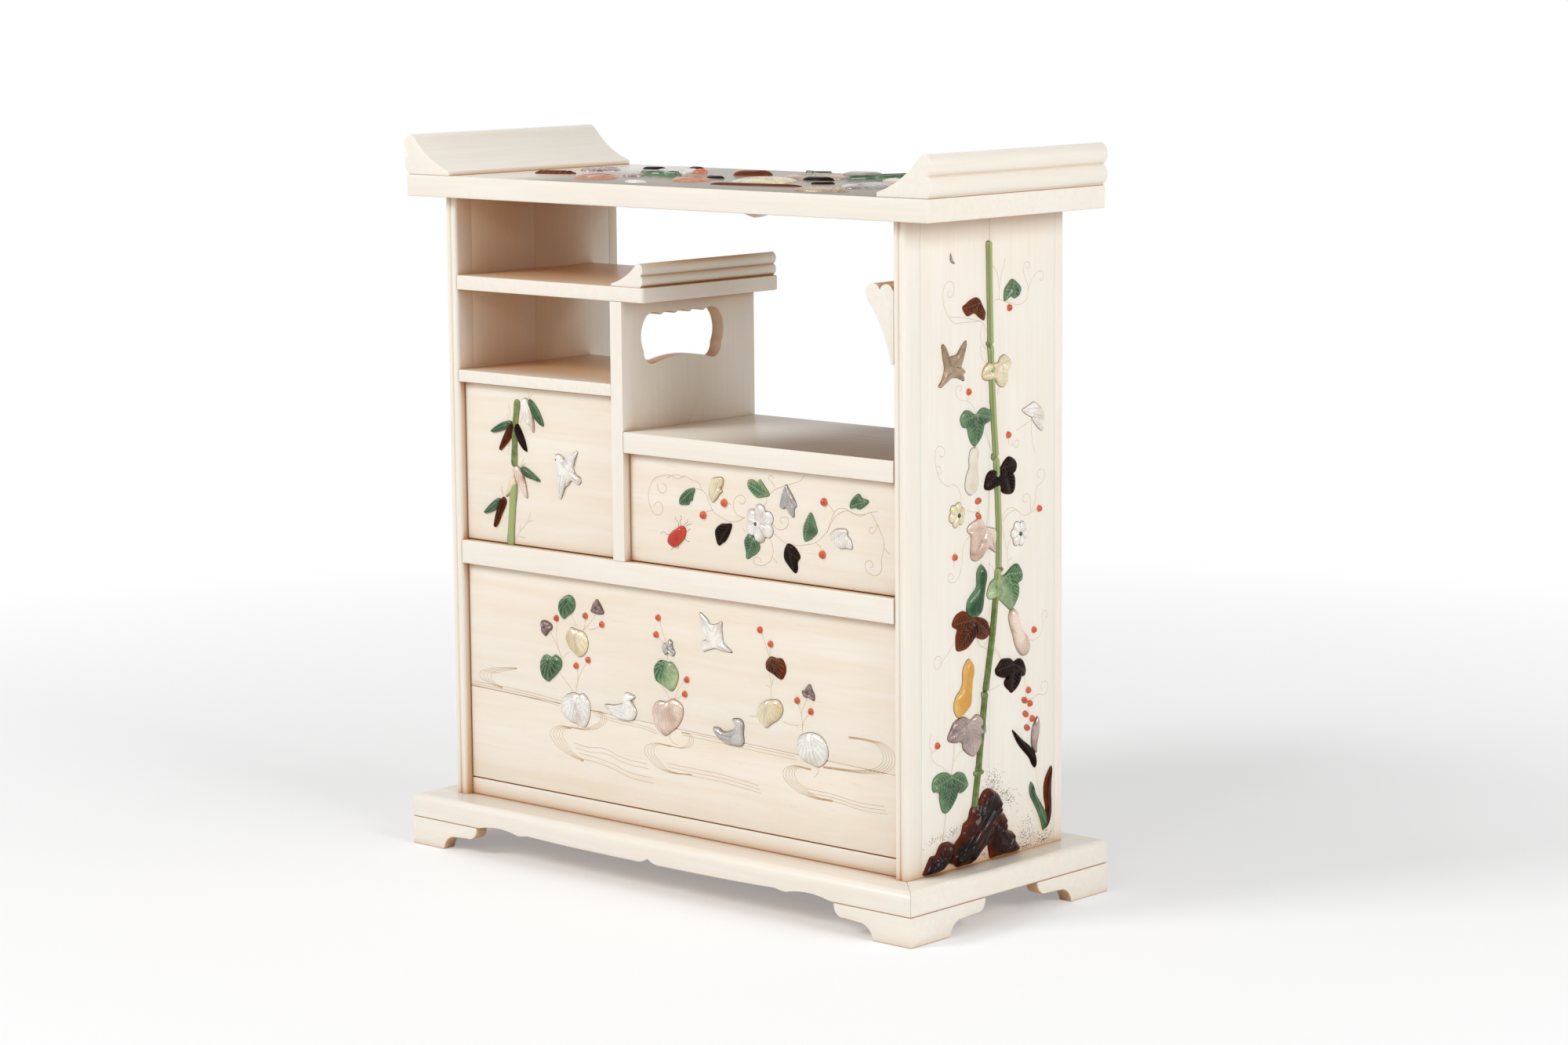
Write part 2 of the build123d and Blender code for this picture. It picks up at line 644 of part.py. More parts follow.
# Wide drawer: three clumps of water plant, two ducks on the water and a bird above.
lay_front(wide_opening, (170.7, 65.9), {
    "wide_drawer_inlay": [
        (heart_leaf(6.6, 5.8), 42.1, 57.0, -20),
        (heart_leaf(8.4, 7.6), 46.3, 46.5, 15),
        (heart_leaf(7.4, 7.4), 35.0, 37.6, -6),
        (heart_leaf(10.2, 9.8), 45.1, 26.6, 14),
        (heart_leaf(8.8, 8.0), 82.3, 41.0, 12),
        (heart_leaf(10.6, 10.2), 82.9, 29.0, -6),
        (heart_leaf(6.8, 6.8), 125.1, 48.1, 24),
        (heart_leaf(8.0, 8.6), 122.7, 35.0, -14),
        (heart_leaf(10.0, 10.2), 138.4, 26.8, 20),
        (flower(4.4, 3), 54.8, 57.9, 0),
        (flower(4.0, 3), 33.2, 49.3, 60),
        (flower(4.2, 3), 83.6, 49.1, 30),
        (flower(4.4, 3), 137.4, 42.7, 0),
        (duck(11.4), 63.4, 27.6, 0),
        (duck(11.0), 106.8, 26.4, 0),
        (bird(11.0, 17.0), 101.0, 54.6, 150),
        *berries([
            (37.6, 52.8), (49.7, 54.8), (56.5, 53.0), (50.6, 41.8), (45.6, 39.5), (79.4, 57.5), (78.5, 52.5),
            (90.5, 40.7), (89.7, 36.4), (119.2, 58.4), (123.2, 54.8), (133.1, 39.9), (138.2, 37.4),
        ]),
    ],
})

# Top: a drift of shells between the rails; x and y from the middle of the top board.
shell_places = [
    (fan_shell(15.0), -38.0, -18.0, 20), (fan_shell(12.0), -60.0, -8.0, -40), (fan_shell(13.0), -12.0, -4.0, 10),
    (fan_shell(18.0), 14.0, -14.0, -15), (fan_shell(12.0), 44.0, -22.0, 30), (fan_shell(14.0), 40.0, 6.0, -20),
    (fan_shell(11.0), -34.0, 12.0, 160), (fan_shell(12.0), 66.0, -8.0, 75),
    (Pos(0, -9) * lens(18.0, 6.0), -64.0, -24.0, 80), (Pos(0, -10) * lens(20.0, 5.0), 2.0, -27.0, 84),
    (Pos(0, -8) * lens(16.0, 6.0), -22.0, 24.0, -60), (Pos(0, -8) * lens(16.0, 6.0), 28.0, 22.0, 70),
    (Pos(0, -8) * lens(15.0, 5.0), 2.0, 10.0, 40), (Pos(0, -7) * lens(14.0, 5.0), 62.0, 20.0, -50),
    (Pos(0, -8) * lens(16.0, 4.0), -52.0, 22.0, 30),
]
top_panel = Plane(origin=(0, 0, top_face))
lay_inlay(top_panel, {"top_shells": shell_places}, shell_height, (top_width / 203.0, top_depth / 77.0))


# ---- files ----

os.makedirs("parts", exist_ok=True)
for name, shape in parts.items():
    export_step(shape, f"parts/{name}.step")
print(len(parts), "parts")
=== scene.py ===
import json
import math
import bpy
import numpy as np
from mathutils import Matrix, Vector

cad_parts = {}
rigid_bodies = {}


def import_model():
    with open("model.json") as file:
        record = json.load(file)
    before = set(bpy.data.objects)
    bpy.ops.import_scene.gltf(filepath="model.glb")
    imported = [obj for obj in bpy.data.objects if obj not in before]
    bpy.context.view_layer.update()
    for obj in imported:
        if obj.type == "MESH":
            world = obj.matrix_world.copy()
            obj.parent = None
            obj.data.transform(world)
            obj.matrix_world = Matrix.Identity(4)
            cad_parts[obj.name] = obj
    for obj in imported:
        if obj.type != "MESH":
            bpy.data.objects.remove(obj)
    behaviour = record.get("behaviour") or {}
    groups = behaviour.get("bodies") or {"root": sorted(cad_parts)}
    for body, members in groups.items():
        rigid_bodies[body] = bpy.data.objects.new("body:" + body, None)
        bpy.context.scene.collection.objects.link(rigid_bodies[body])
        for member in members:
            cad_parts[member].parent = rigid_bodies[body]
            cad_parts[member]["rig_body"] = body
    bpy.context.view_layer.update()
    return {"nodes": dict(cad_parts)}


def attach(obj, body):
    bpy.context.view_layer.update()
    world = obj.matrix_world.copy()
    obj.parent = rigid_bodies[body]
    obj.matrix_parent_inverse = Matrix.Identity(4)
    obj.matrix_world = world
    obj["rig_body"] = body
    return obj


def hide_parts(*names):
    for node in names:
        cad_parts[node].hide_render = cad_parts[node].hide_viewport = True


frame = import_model()
print("frame loaded:", len(frame["nodes"]), "nodes")


# panels: where flat drawings in millimetres go on the cabinet

panels = {
    "side": {"corner": (89.75, -34.0, 0.0), "along": (0, 1, 0), "up": (0, 0, 1), "out": (1, 0, 0),
             "body": "cabinet"},
    "left": {
        "corner": (-85.35, -31.5, 93.3), "along": (1, 0, 0), "up": (0, 0, 1), "out": (0, -1, 0),
        "body": "left_drawer"},
    "right": {
        "corner": (-16.85, -31.5, 93.3), "along": (1, 0, 0), "up": (0, 0, 1), "out": (0, -1, 0),
        "body": "right_drawer"},
    "wide": {
        "corner": (-85.35, -31.5, 20.4), "along": (1, 0, 0), "up": (0, 0, 1), "out": (0, -1, 0),
        "body": "wide_drawer"},
    "top": {"corner": (0, 0, 202.4), "along": (1, 0, 0), "up": (0, 1, 0), "out": (0, 0, 1),
            "body": "cabinet"}}


def fromStalk(stalk, tips):
    # straight veins from one stalk to each tip
    return [[stalk, tip] for tip in tips]


def turned(points, centre, tilt):
    # points drawn about the origin, turned by tilt degrees and moved to the centre
    turn = math.radians(tilt)
    return [(centre[0] + x * math.cos(turn) - y * math.sin(turn),
             centre[1] + x * math.sin(turn) + y * math.cos(turn))
            for x, y in points]


def divided(line, count):
    # the same line through count points
    line = np.array(line, float)
    share = np.linspace(0, 1, len(line))
    return np.stack([np.interp(np.linspace(0, 1, count), share, line[:, k]) for k in (0, 1)], axis=1)


def aroundCircle(count):
    return np.linspace(0, 2 * math.pi, count, endpoint=False)


def onPanel(panelName, flat):
    # flat holds rows of (along, up, out) in millimetres; the result is in metres
    panel = panels[panelName]
    axes = np.array([panel["along"], panel["up"], panel["out"]], float)
    return (np.array(panel["corner"], float) + flat @ axes) / 1000.0


def deselectAll():
    if bpy.context.object and bpy.context.object.mode != "OBJECT":
        bpy.ops.object.mode_set(mode="OBJECT")
    bpy.ops.object.select_all(action="DESELECT")


def makeActive(piece):
    deselectAll()
    piece.select_set(True)
    bpy.context.view_layer.objects.active = piece


def joinPieces(name, pieceList):
    makeActive(pieceList[0])
    for piece in pieceList:
        piece.select_set(True)
    if len(pieceList) > 1:
        bpy.ops.object.join()
    joined = bpy.context.object
    joined.name = name
    joined.data.name = name
    return joined


def givePiece(piece, finish, body, stands=()):
    if finish:
        piece.data.materials.clear()
        piece.data.materials.append(finish)
    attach(piece, body)
    if stands:
        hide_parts(*stands)
    return piece


# shader groups that several finishes share

def newGroup(name, inputs, outputs):
    group = bpy.data.node_groups.new(name, "ShaderNodeTree")
    for socketName, value in inputs.items():
        socket = group.interface.new_socket(name=socketName, in_out="INPUT", socket_type="NodeSocketFloat")
        socket.default_value = value
    for socketName, kind in outputs.items():
        group.interface.new_socket(name=socketName, in_out="OUTPUT", socket_type=kind)
    return group, group.nodes.new("NodeGroupInput"), group.nodes.new("NodeGroupOutput")


def mathNode(tree, kind, first, second=None, clamp=False):
    node = tree.nodes.new("ShaderNodeMath")
    node.operation = kind
    node.use_clamp = clamp
    for index, value in enumerate((first, second)):
        if value is None:
            continue
        if isinstance(value, (int, float)):
            node.inputs[index].default_value = value
        else:
            tree.links.new(value, node.inputs[index])
    return node.outputs[0]


def noiseNode(tree, vector, scale, detail=3.0, roughness=0.5, distortion=0.0):
    node = tree.nodes.new("ShaderNodeTexNoise")
    tree.links.new(vector, node.inputs["Vector"])
    node.inputs["Scale"].default_value = scale
    node.inputs["Detail"].default_value = detail
    node.inputs["Roughness"].default_value = roughness
    node.inputs["Distortion"].default_value = distortion
    return node.outputs["Fac"]


def rampNode(tree, factor, stops):
    # stops: (place, value or colour)
    node = tree.nodes.new("ShaderNodeValToRGB")
    tree.links.new(factor, node.inputs[0])
    elements = node.color_ramp.elements
    while len(elements) < len(stops):
        elements.new(0.5)
    for element, (place, colour) in zip(elements, stops):
        element.position = place
        element.color = (colour,) * 3 + (1,) if isinstance(colour, (int, float)) else (*colour, 1)
    return node.outputs[0]


def mixColour(tree, factor, first, second, mode="MIX"):
    node = tree.nodes.new("ShaderNodeMix")
    node.data_type = "RGBA"
    node.blend_type = mode
    for socket, value in ((node.inputs[0], factor), (node.inputs[6], first), (node.inputs[7], second)):
        if isinstance(value, (int, float)):
            socket.default_value = value
        elif isinstance(value, tuple):
            socket.default_value = (*value, 1)
        else:
            tree.links.new(value, socket)
    return node.outputs[2]


def objectVector(tree):
    return tree.nodes.new("ShaderNodeTexCoord").outputs["Object"]


def boardGrainGroup():
    # long streaks, soft clouds and fine pores; the streaks run along the group's stretched axis
    group, source, target = newGroup(
        "boardGrain", {"Along X": 900.0, "Along Y": 900.0, "Along Z": 30.0},
        {"Streaks": "NodeSocketFloat", "Clouds": "NodeSocketFloat", "Pores": "NodeSocketFloat"})
    coordinates = group.nodes.new("ShaderNodeTexCoord")
    scale = group.nodes.new("ShaderNodeCombineXYZ")
    for index, name in enumerate(("Along X", "Along Y", "Along Z")):
        group.links.new(source.outputs[name], scale.inputs[index])
    stretched = group.nodes.new("ShaderNodeVectorMath")
    stretched.operation = "MULTIPLY"
    group.links.new(coordinates.outputs["Object"], stretched.inputs[0])
    group.links.new(scale.outputs[0], stretched.inputs[1])
    streaks = noiseNode(group, stretched.outputs[0], 1.0, 4.0, 0.6, 0.5)
    clouds = noiseNode(group, coordinates.outputs["Object"], 34.0, 3.0, 0.55, 0.4)
    pores = noiseNode(group, stretched.outputs[0], 4.0, 2.0, 0.7)
    group.links.new(streaks, target.inputs["Streaks"])
    group.links.new(clouds, target.inputs["Clouds"])
    group.links.new(pores, target.inputs["Pores"])
    return group


def pearlShimmerGroup():
    # bands of faint pink, green and blue that wander through mother-of-pearl
    group, source, target = newGroup(
        "pearlShimmer", {"Band Size": 420.0}, {"Color": "NodeSocketColor", "Layers": "NodeSocketFloat"})
    coordinates = group.nodes.new("ShaderNodeTexCoord")
    bend = noiseNode(group, coordinates.outputs["Object"], 160.0, 3.0, 0.5, 1.5)
    bands = group.nodes.new("ShaderNodeTexWave")
    bands.inputs["Distortion"].default_value = 9.0
    bands.inputs["Detail"].default_value = 2.0
    bands.inputs["Detail Scale"].default_value = 1.4
    group.links.new(source.outputs["Band Size"], bands.inputs["Scale"])
    group.links.new(coordinates.outputs["Object"], bands.inputs["Vector"])
    mixed = mathNode(group, "ADD", mathNode(group, "MULTIPLY", bands.outputs["Fac"], 0.45),
                     mathNode(group, "MULTIPLY", bend, 0.62))
    shimmer = rampNode(group, mixed, [(0.2, (0.90, 0.80, 0.80)), (0.38, (1.0, 0.97, 0.93)), (0.52, (0.82,
        0.92, 0.88)),
                                      (0.66, (1.0, 0.99, 0.97)), (0.82, (0.84, 0.86, 0.96))])
    group.links.new(shimmer, target.inputs["Color"])
    group.links.new(bands.outputs["Fac"], target.inputs["Layers"])
    return group


boardGrain = boardGrainGroup()
pearlShimmer = pearlShimmerGroup()


# finishes

def newFinish(name, roughness, coat=0.0, subsurface=0.0, shine=0.5):
    finish = bpy.data.materials.new(name)
    finish.use_nodes = True
    shader = finish.node_tree.nodes["Principled BSDF"]
    shader.inputs["Roughness"].default_value = roughness
    shader.inputs["Coat Weight"].default_value = coat
    shader.inputs["Coat Roughness"].default_value = 0.08
    shader.inputs["IOR"].default_value = 1.5
    shader.inputs["Specular IOR Level"].default_value = shine
    if subsurface:
        shader.inputs["Subsurface Weight"].default_value = subsurface
        shader.inputs["Subsurface Radius"].default_value = (0.004, 0.002, 0.001)
        shader.inputs["Subsurface Scale"].default_value = 1.0
    return finish, finish.node_tree, shader


def bumpInto(tree, shader, height, strength, distance):
    bump = tree.nodes.new("ShaderNodeBump")
    bump.inputs["Strength"].default_value = strength
    bump.inputs["Distance"].default_value = distance
    tree.links.new(height, bump.inputs["Height"])
    tree.links.new(bump.outputs[0], shader.inputs["Normal"])


def unevenGloss(tree, shader, pattern, swing, gloss):
    # roughness wanders by the swing around the gloss
    roughness = mathNode(tree, "ADD", mathNode(tree, "MULTIPLY", pattern, swing), gloss - swing / 2)
    tree.links.new(roughness, shader.inputs["Roughness"])


def pointMask(tree, name):
    # a value that carve() left on the points of a motif
    mask = tree.nodes.new("ShaderNodeAttribute")
    mask.attribute_name = name
    return mask.outputs["Fac"]


def nearness(tree, distance, low, high):
    # 1 deep in a corner or a bay, 0 on open faces: an occlusion mask used to paint shade on the boards
    crevice = tree.nodes.new("ShaderNodeAmbientOcclusion")
    crevice.samples = 8
    crevice.inputs["Distance"].default_value = distance
    return rampNode(tree, crevice.outputs["AO"], [(low, 1.0), (high, 0.0)])


# grain tints for the boards, and painted shade: the bay and joint entries darken and warm the boards by
# occlusion
grainTintsAndPaintedShade = {
    "cloudShare": 0.35, "cloudTint": (1.0, 0.985, 0.95), "poreTint": (0.86, 0.70, 0.50),
    "bay": {"reach": 0.05, "deep": 0.22, "share": 0.95, "colour": (0.62, 0.34, 0.14)},
    "joint": {"reach": 0.004, "deep": 0.25, "open": 0.7, "share": 0.5, "colour": (0.50, 0.24, 0.08)},
}


def boardFinish(name, pale, warm, grain, streakShare, gloss, paintedReflection=None, poreShare=0.15, bayEdge=0.68):
    # polished board with painted shade: darker and warmer where boards meet and deep in the bays, from an
    # occlusion mask
    # boards with a painted reflection take almost no real specular
    coat, shine = (0, 0.01) if paintedReflection else (0.05, 0.25)
    finish, tree, shader = newFinish(name, gloss, coat=coat, subsurface=0.12, shine=shine)
    group = tree.nodes.new("ShaderNodeGroup")
    group.node_tree = boardGrain
    for socketName, value in zip(("Along X", "Along Y", "Along Z"), grain):
        group.inputs[socketName].default_value = value
    streaks = rampNode(tree, group.outputs["Streaks"], [(0.34, 0.0), (0.66, 1.0)])
    clouds = rampNode(tree, group.outputs["Clouds"], [(0.35, 0.0), (0.7, 1.0)])
    base = mixColour(tree, mathNode(tree, "MULTIPLY", streaks, streakShare), pale, warm)
    cloudy = tuple(0.5 * (p + w) * s for p, w, s in zip(pale, warm, grainTintsAndPaintedShade["cloudTint"]))
    base = mixColour(tree, mathNode(tree, "MULTIPLY", clouds, grainTintsAndPaintedShade["cloudShare"]), base, cloudy)
    pores = rampNode(tree, group.outputs["Pores"], [(0.66, 0.0), (0.8, 1.0)])
    stained = tuple(s * c for s, c in zip(grainTintsAndPaintedShade["poreTint"], warm))
    base = mixColour(tree, mathNode(tree, "MULTIPLY", pores, poreShare), base, stained)
    # painted reflection: a dark taupe tint on up-facing faces, fading in along X, in place of a darker surround
    # mirrored in the polished surface
    if paintedReflection:
        facing = tree.nodes.new("ShaderNodeNewGeometry")
        split = tree.nodes.new("ShaderNodeSeparateXYZ")
        tree.links.new(facing.outputs["Normal"], split.inputs[0])
        upward = rampNode(tree, split.outputs["Z"], [(0.9, 0.0), (0.97, 1.0)])
        place = tree.nodes.new("ShaderNodeSeparateXYZ")
        tree.links.new(facing.outputs["Position"], place.inputs[0])
        across = tree.nodes.new("ShaderNodeMapRange")
        across.interpolation_type = "SMOOTHSTEP"
        across.inputs["From Min"].default_value = paintedReflection["from"]
        across.inputs["From Max"].default_value = paintedReflection["to"]
        tree.links.new(place.outputs["X"], across.inputs["Value"])
        share = mathNode(tree, "MULTIPLY", mathNode(tree,
                                                    "MULTIPLY", upward, across.outputs[0]), paintedReflection["share"])
        grainy = mixColour(tree, streaks, paintedReflection["colour"], tuple(1.28 * c for c in paintedReflection["colour"]))
        base = mixColour(tree, share, base, grainy)
    # painted shade: a warm dark tint deep in the bays and where boards meet
    for corner, openEdge in (("bay", bayEdge), ("joint", grainTintsAndPaintedShade["joint"]["open"])):
        look = grainTintsAndPaintedShade[corner]
        deep = nearness(tree, look["reach"], look["deep"], openEdge)
        base = mixColour(tree, mathNode(tree, "MULTIPLY", deep, look["share"]), base, look["colour"])
    tree.links.new(base, shader.inputs["Base Color"])
    unevenGloss(tree, shader, group.outputs["Pores"], 0.12, gloss)
    bumpInto(tree, shader, group.outputs["Streaks"], 0.06, 0.0002)
    return finish


def carvedFinish(name, dark, light, vein, mottle=260.0, gloss=0.22, veinShare=0.5, shine=0.2, spread=(0.3,
                                                                                                      0.8),
                 subsurface=0.0):
    # carved stone, horn or resin; "toneAndRimShade" runs across each motif, "vein" lies in its cut lines
    finish, tree, shader = newFinish(name, gloss, subsurface=subsurface, shine=shine)
    cloud = noiseNode(tree, objectVector(tree), mottle, 4.0, 0.6, 0.6)
    share = mathNode(tree, "ADD", mathNode(tree, "MULTIPLY", cloud, 0.75),
                     mathNode(tree, "MULTIPLY", pointMask(tree, "toneAndRimShade"), 0.6))
    base = mixColour(tree, rampNode(tree, share, [(spread[0], 0.0), (spread[1], 1.0)]), dark, light)
    base = mixColour(tree, mathNode(tree, "MULTIPLY", pointMask(tree, "vein"), veinShare, True), base, vein)
    tree.links.new(base, shader.inputs["Base Color"])
    fine = noiseNode(tree, objectVector(tree), 2400.0, 2.0)
    unevenGloss(tree, shader, fine, 0.14, gloss)
    bumpInto(tree, shader, fine, 0.04, 0.0001)
    return finish


def pearlFinish(name, tint, paintedShadeTint, vein=(0.42, 0.36, 0.34), bandSize=420.0, gloss=0.24, shine=0.25):
    finish, tree, shader = newFinish(name, gloss, coat=0.1, shine=0.35)
    shader.inputs["Metallic"].default_value = shine
    group = tree.nodes.new("ShaderNodeGroup")
    group.node_tree = pearlShimmer
    group.inputs["Band Size"].default_value = bandSize
    base = mixColour(tree, 1.0, group.outputs["Color"], tint, "MULTIPLY")
    # painted shade: darker toward each motif's rim and in soft patches
    cloud = noiseNode(tree, objectVector(tree), 190.0, 2.0, 0.45, 0.6)
    patches = rampNode(tree, cloud, [(0.45, 0.0), (0.75, 0.6)])
    share = mathNode(tree, "ADD", mathNode(tree, "MULTIPLY", pointMask(tree, "toneAndRimShade"), 0.5), patches, True)
    base = mixColour(tree, share, base, paintedShadeTint)
    base = mixColour(tree, mathNode(tree, "MULTIPLY", pointMask(tree, "vein"), 0.55, True), base, vein)
    tree.links.new(base, shader.inputs["Base Color"])
    unevenGloss(tree, shader, group.outputs["Layers"], 0.16, gloss)
    bumpInto(tree, shader, group.outputs["Layers"], 0.08, 0.0002)
    return finish


ivory = {"pale": (0.83, 0.785, 0.715), "warm": (0.77, 0.69, 0.575)}
front = {"pale": (0.83, 0.765, 0.68), "warm": (0.78, 0.665, 0.52)}
# painted reflections on the upper faces of the top board and the middle shelf
topPaintedReflection = {"from": -0.07, "to": -0.035, "share": 0.88, "colour": (0.215, 0.175, 0.13)}
shelfPaintedReflection = {"from": 0.0, "to": 0.045, "share": 0.9, "colour": (0.19, 0.125, 0.08)}
finishes = {
    "boardUpright": boardFinish("boardUpright", ivory["pale"], ivory["warm"], (620, 620, 26), 0.45, 0.36),
    "boardLong": boardFinish("boardLong", ivory["pale"], ivory["warm"], (26, 620, 620), 0.45, 0.36),
    "boardDeep": boardFinish("boardDeep", ivory["pale"], ivory["warm"], (620, 26, 620), 0.45, 0.33),
    "frontBoard": boardFinish("frontBoard", front["pale"], front["warm"], (16, 240, 240), 0.7, 0.36,
                              poreShare=0.4),
    "baseBoard": boardFinish("baseBoard", ivory["pale"], ivory["warm"], (26, 620, 620), 0.45, 0.36,
                             bayEdge=0.4),
    "topBoard": boardFinish("topBoard", ivory["pale"], ivory["warm"], (26, 620, 620), 0.45, 0.2, topPaintedReflection),
    "shelfBoard": boardFinish("shelfBoard", ivory["pale"], ivory["warm"], (26, 620, 620), 0.45, 0.25,
                              shelfPaintedReflection,
                              bayEdge=0.52),
    "greenStone": carvedFinish("greenStone", (0.008, 0.048, 0.010), (0.16, 0.30, 0.15), (0.34, 0.46, 0.28),
                               gloss=0.16, shine=0.35, spread=(0.35, 0.95)),
    "paleGreenStone": carvedFinish("paleGreenStone", (0.018, 0.10, 0.028), (0.44, 0.52, 0.28), (0.50, 0.60,
                                                                                                0.38),
                                   gloss=0.17, shine=0.3, spread=(0.42, 1.05)),
    "stemGreen": carvedFinish("stemGreen", (0.10, 0.15, 0.035), (0.33, 0.38, 0.16), (0.06, 0.08, 0.02),
                              500.0, 0.3,
                              0.7),
    "darkHorn": carvedFinish("darkHorn", (0.003, 0.001, 0.0008), (0.022, 0.006, 0.003), (0.09, 0.06, 0.045),
                             220.0,
                             0.16, 0.5, 0.06),
    "redHorn": carvedFinish("redHorn", (0.025, 0.003, 0.001), (0.17, 0.034, 0.007), (0.26, 0.13, 0.075),
                            200.0, 0.16,
                            0.5, 0.06),
    "rockHorn": carvedFinish("rockHorn", (0.005, 0.0008, 0.0005), (0.15, 0.026, 0.007), (0.24, 0.12, 0.08),
                             130.0,
                             0.15, 0.45, 0.16, spread=(0.38, 0.95)),
    "amberHorn": carvedFinish("amberHorn", (0.020, 0.003, 0.001), (0.24, 0.045, 0.006), (0.40, 0.2, 0.09),
                              130.0,
                              0.19, 0.4, 0.14, spread=(0.4, 0.95)),
    "rustShell": carvedFinish("rustShell", (0.36, 0.10, 0.045), (0.60, 0.27, 0.16), (0.70, 0.50, 0.38),
                              260.0, 0.25,
                              0.7, 0.25),
    "amber": carvedFinish("amber", (0.58, 0.29, 0.05), (0.78, 0.50, 0.17), (0.45, 0.22, 0.06), 160.0, 0.2,
                          0.5, 0.3,
                          subsurface=0.3),
    "coral": carvedFinish("coral", (0.46, 0.045, 0.010), (0.72, 0.16, 0.055), (0.30, 0.03, 0.012), 500.0,
                          0.13, 0.5,
                          0.5),
    "beetleRed": carvedFinish("beetleRed", (0.42, 0.012, 0.004), (0.66, 0.06, 0.015), (0.25, 0.02, 0.01),
                              400.0, 0.12,
                              0.5, 0.5),
    "whiteBone": carvedFinish("whiteBone", (0.66, 0.58, 0.45), (0.82, 0.79, 0.71), (0.42, 0.32, 0.20), 200.0,
                              0.22,
                              0.6, 0.3, subsurface=0.1),
    "whitePearl": pearlFinish("whitePearl", (0.92, 0.89, 0.85), (0.52, 0.43, 0.33)),
    "pinkPearl": pearlFinish("pinkPearl", (0.86, 0.70, 0.60), (0.40, 0.22, 0.13), shine=0.3),
    "yellowPearl": pearlFinish("yellowPearl", (0.86, 0.75, 0.52), (0.52, 0.38, 0.17)),
    "greyPearl": pearlFinish("greyPearl", (0.62, 0.58, 0.56), (0.16, 0.13, 0.115), (0.12, 0.10, 0.10),
                             shine=0.6),
    "violetPearl": pearlFinish("violetPearl", (0.50, 0.38, 0.35), (0.085, 0.045, 0.036), (0.62, 0.53, 0.53),
                               gloss=0.2, shine=0.45),
    "budHorn": pearlFinish("budHorn", (0.27, 0.18, 0.165), (0.06, 0.03, 0.028), (0.40, 0.32, 0.32)),
    "brownPearl": pearlFinish("brownPearl", (0.60, 0.45, 0.31), (0.17, 0.10, 0.055), (0.14, 0.08, 0.045)),
    "engraved": carvedFinish("engraved", (0.48, 0.32, 0.17), (0.68, 0.52, 0.34), (0.4, 0.3, 0.2), 300.0, 0.6,
                             0.0,
                             0.1),
    "seamBrown": carvedFinish("seamBrown", (0.08, 0.045, 0.02), (0.34, 0.22, 0.12), (0.2, 0.12, 0.06), 300.0,
                              0.6,
                              0.0, 0.1),
    "inkDots": carvedFinish("inkDots", (0.03, 0.018, 0.010), (0.13, 0.08, 0.045), (0.08, 0.06, 0.04), 500.0,
                            0.6, 0.0,
                            0.1)}
print("finishes made:", len(finishes))


# boards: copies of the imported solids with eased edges

boards = {
    "boardUpright": {
        "ease": 0.1,
        "nodes": ["left_front_stile", "left_front_plank", "left_back_plank", "left_back_stile",
                  "right_front_stile",
                  "right_front_plank", "right_back_plank", "right_back_stile", "partition"]},
    "boardLong": {
        "ease": 0.35,
        "nodes": ["top_valance", "mid_rail", "bottom_rail", "dust_board", "kickers", "floor_board",
                  "back_lower",
                  "back_upper_left", "back_upper_right", "left_drawer_back", "right_drawer_back",
                  "wide_drawer_back",
                  "left_drawer_bottom", "right_drawer_bottom", "wide_drawer_bottom"]},
    "boardDeep": {
        "ease": 0.35,
        "nodes": ["top_rail_left", "top_rail_right", "upper_shelf", "upper_shelf_rail", "right_wall_bracket",
                  "lower_shelf", "left_drawer_side_left", "left_drawer_side_right", "right_drawer_side_left",
                  "right_drawer_side_right", "wide_drawer_side_left", "wide_drawer_side_right"]},
    "baseBoard": {
        "ease": 0.35,
        "nodes": ["base_front", "base_back", "base_left", "base_right", "foot_front_left", "foot_front_right",
                  "foot_back_left", "foot_back_right"]},
    "frontBoard": {
        "ease": 0.25,
        "nodes": ["left_drawer_front", "right_drawer_front", "wide_drawer_front_lower",
                  "wide_drawer_front_upper"]},
    "topBoard": {"ease": 0.45, "nodes": ["top_board"]}, "shelfBoard": {"ease": 0.35,
                                                                       "nodes": ["middle_shelf"]}}


def bodyOf(node):
    return frame["nodes"][node]["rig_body"]


def easeBoard(node, finishName, ease):
    source = frame["nodes"][node]
    board = bpy.data.objects.new(node + "_board", source.data.copy())
    bpy.context.scene.collection.objects.link(board)
    makeActive(board)
    bpy.ops.object.mode_set(mode="EDIT")
    bpy.ops.mesh.select_all(action="SELECT")
    bpy.ops.mesh.remove_doubles(threshold=0.000005)
    bpy.ops.mesh.dissolve_limited(angle_limit=math.radians(0.6))
    bpy.ops.object.mode_set(mode="OBJECT")
    edge = board.modifiers.new("ease", "BEVEL")
    edge.width = ease / 1000
    edge.segments = 3
    edge.limit_method = "ANGLE"
    edge.angle_limit = math.radians(38)
    bpy.ops.object.modifier_apply(modifier="ease")
    bpy.ops.object.shade_smooth_by_angle(angle=math.radians(32))
    return givePiece(board, finishes[finishName], bodyOf(node), [node])


for finishName, boardSet in boards.items():
    for node in boardSet["nodes"]:
        easeBoard(node, finishName, boardSet["ease"])
print("boards eased")


# carving: a dome shaped to an outline, with cut veins

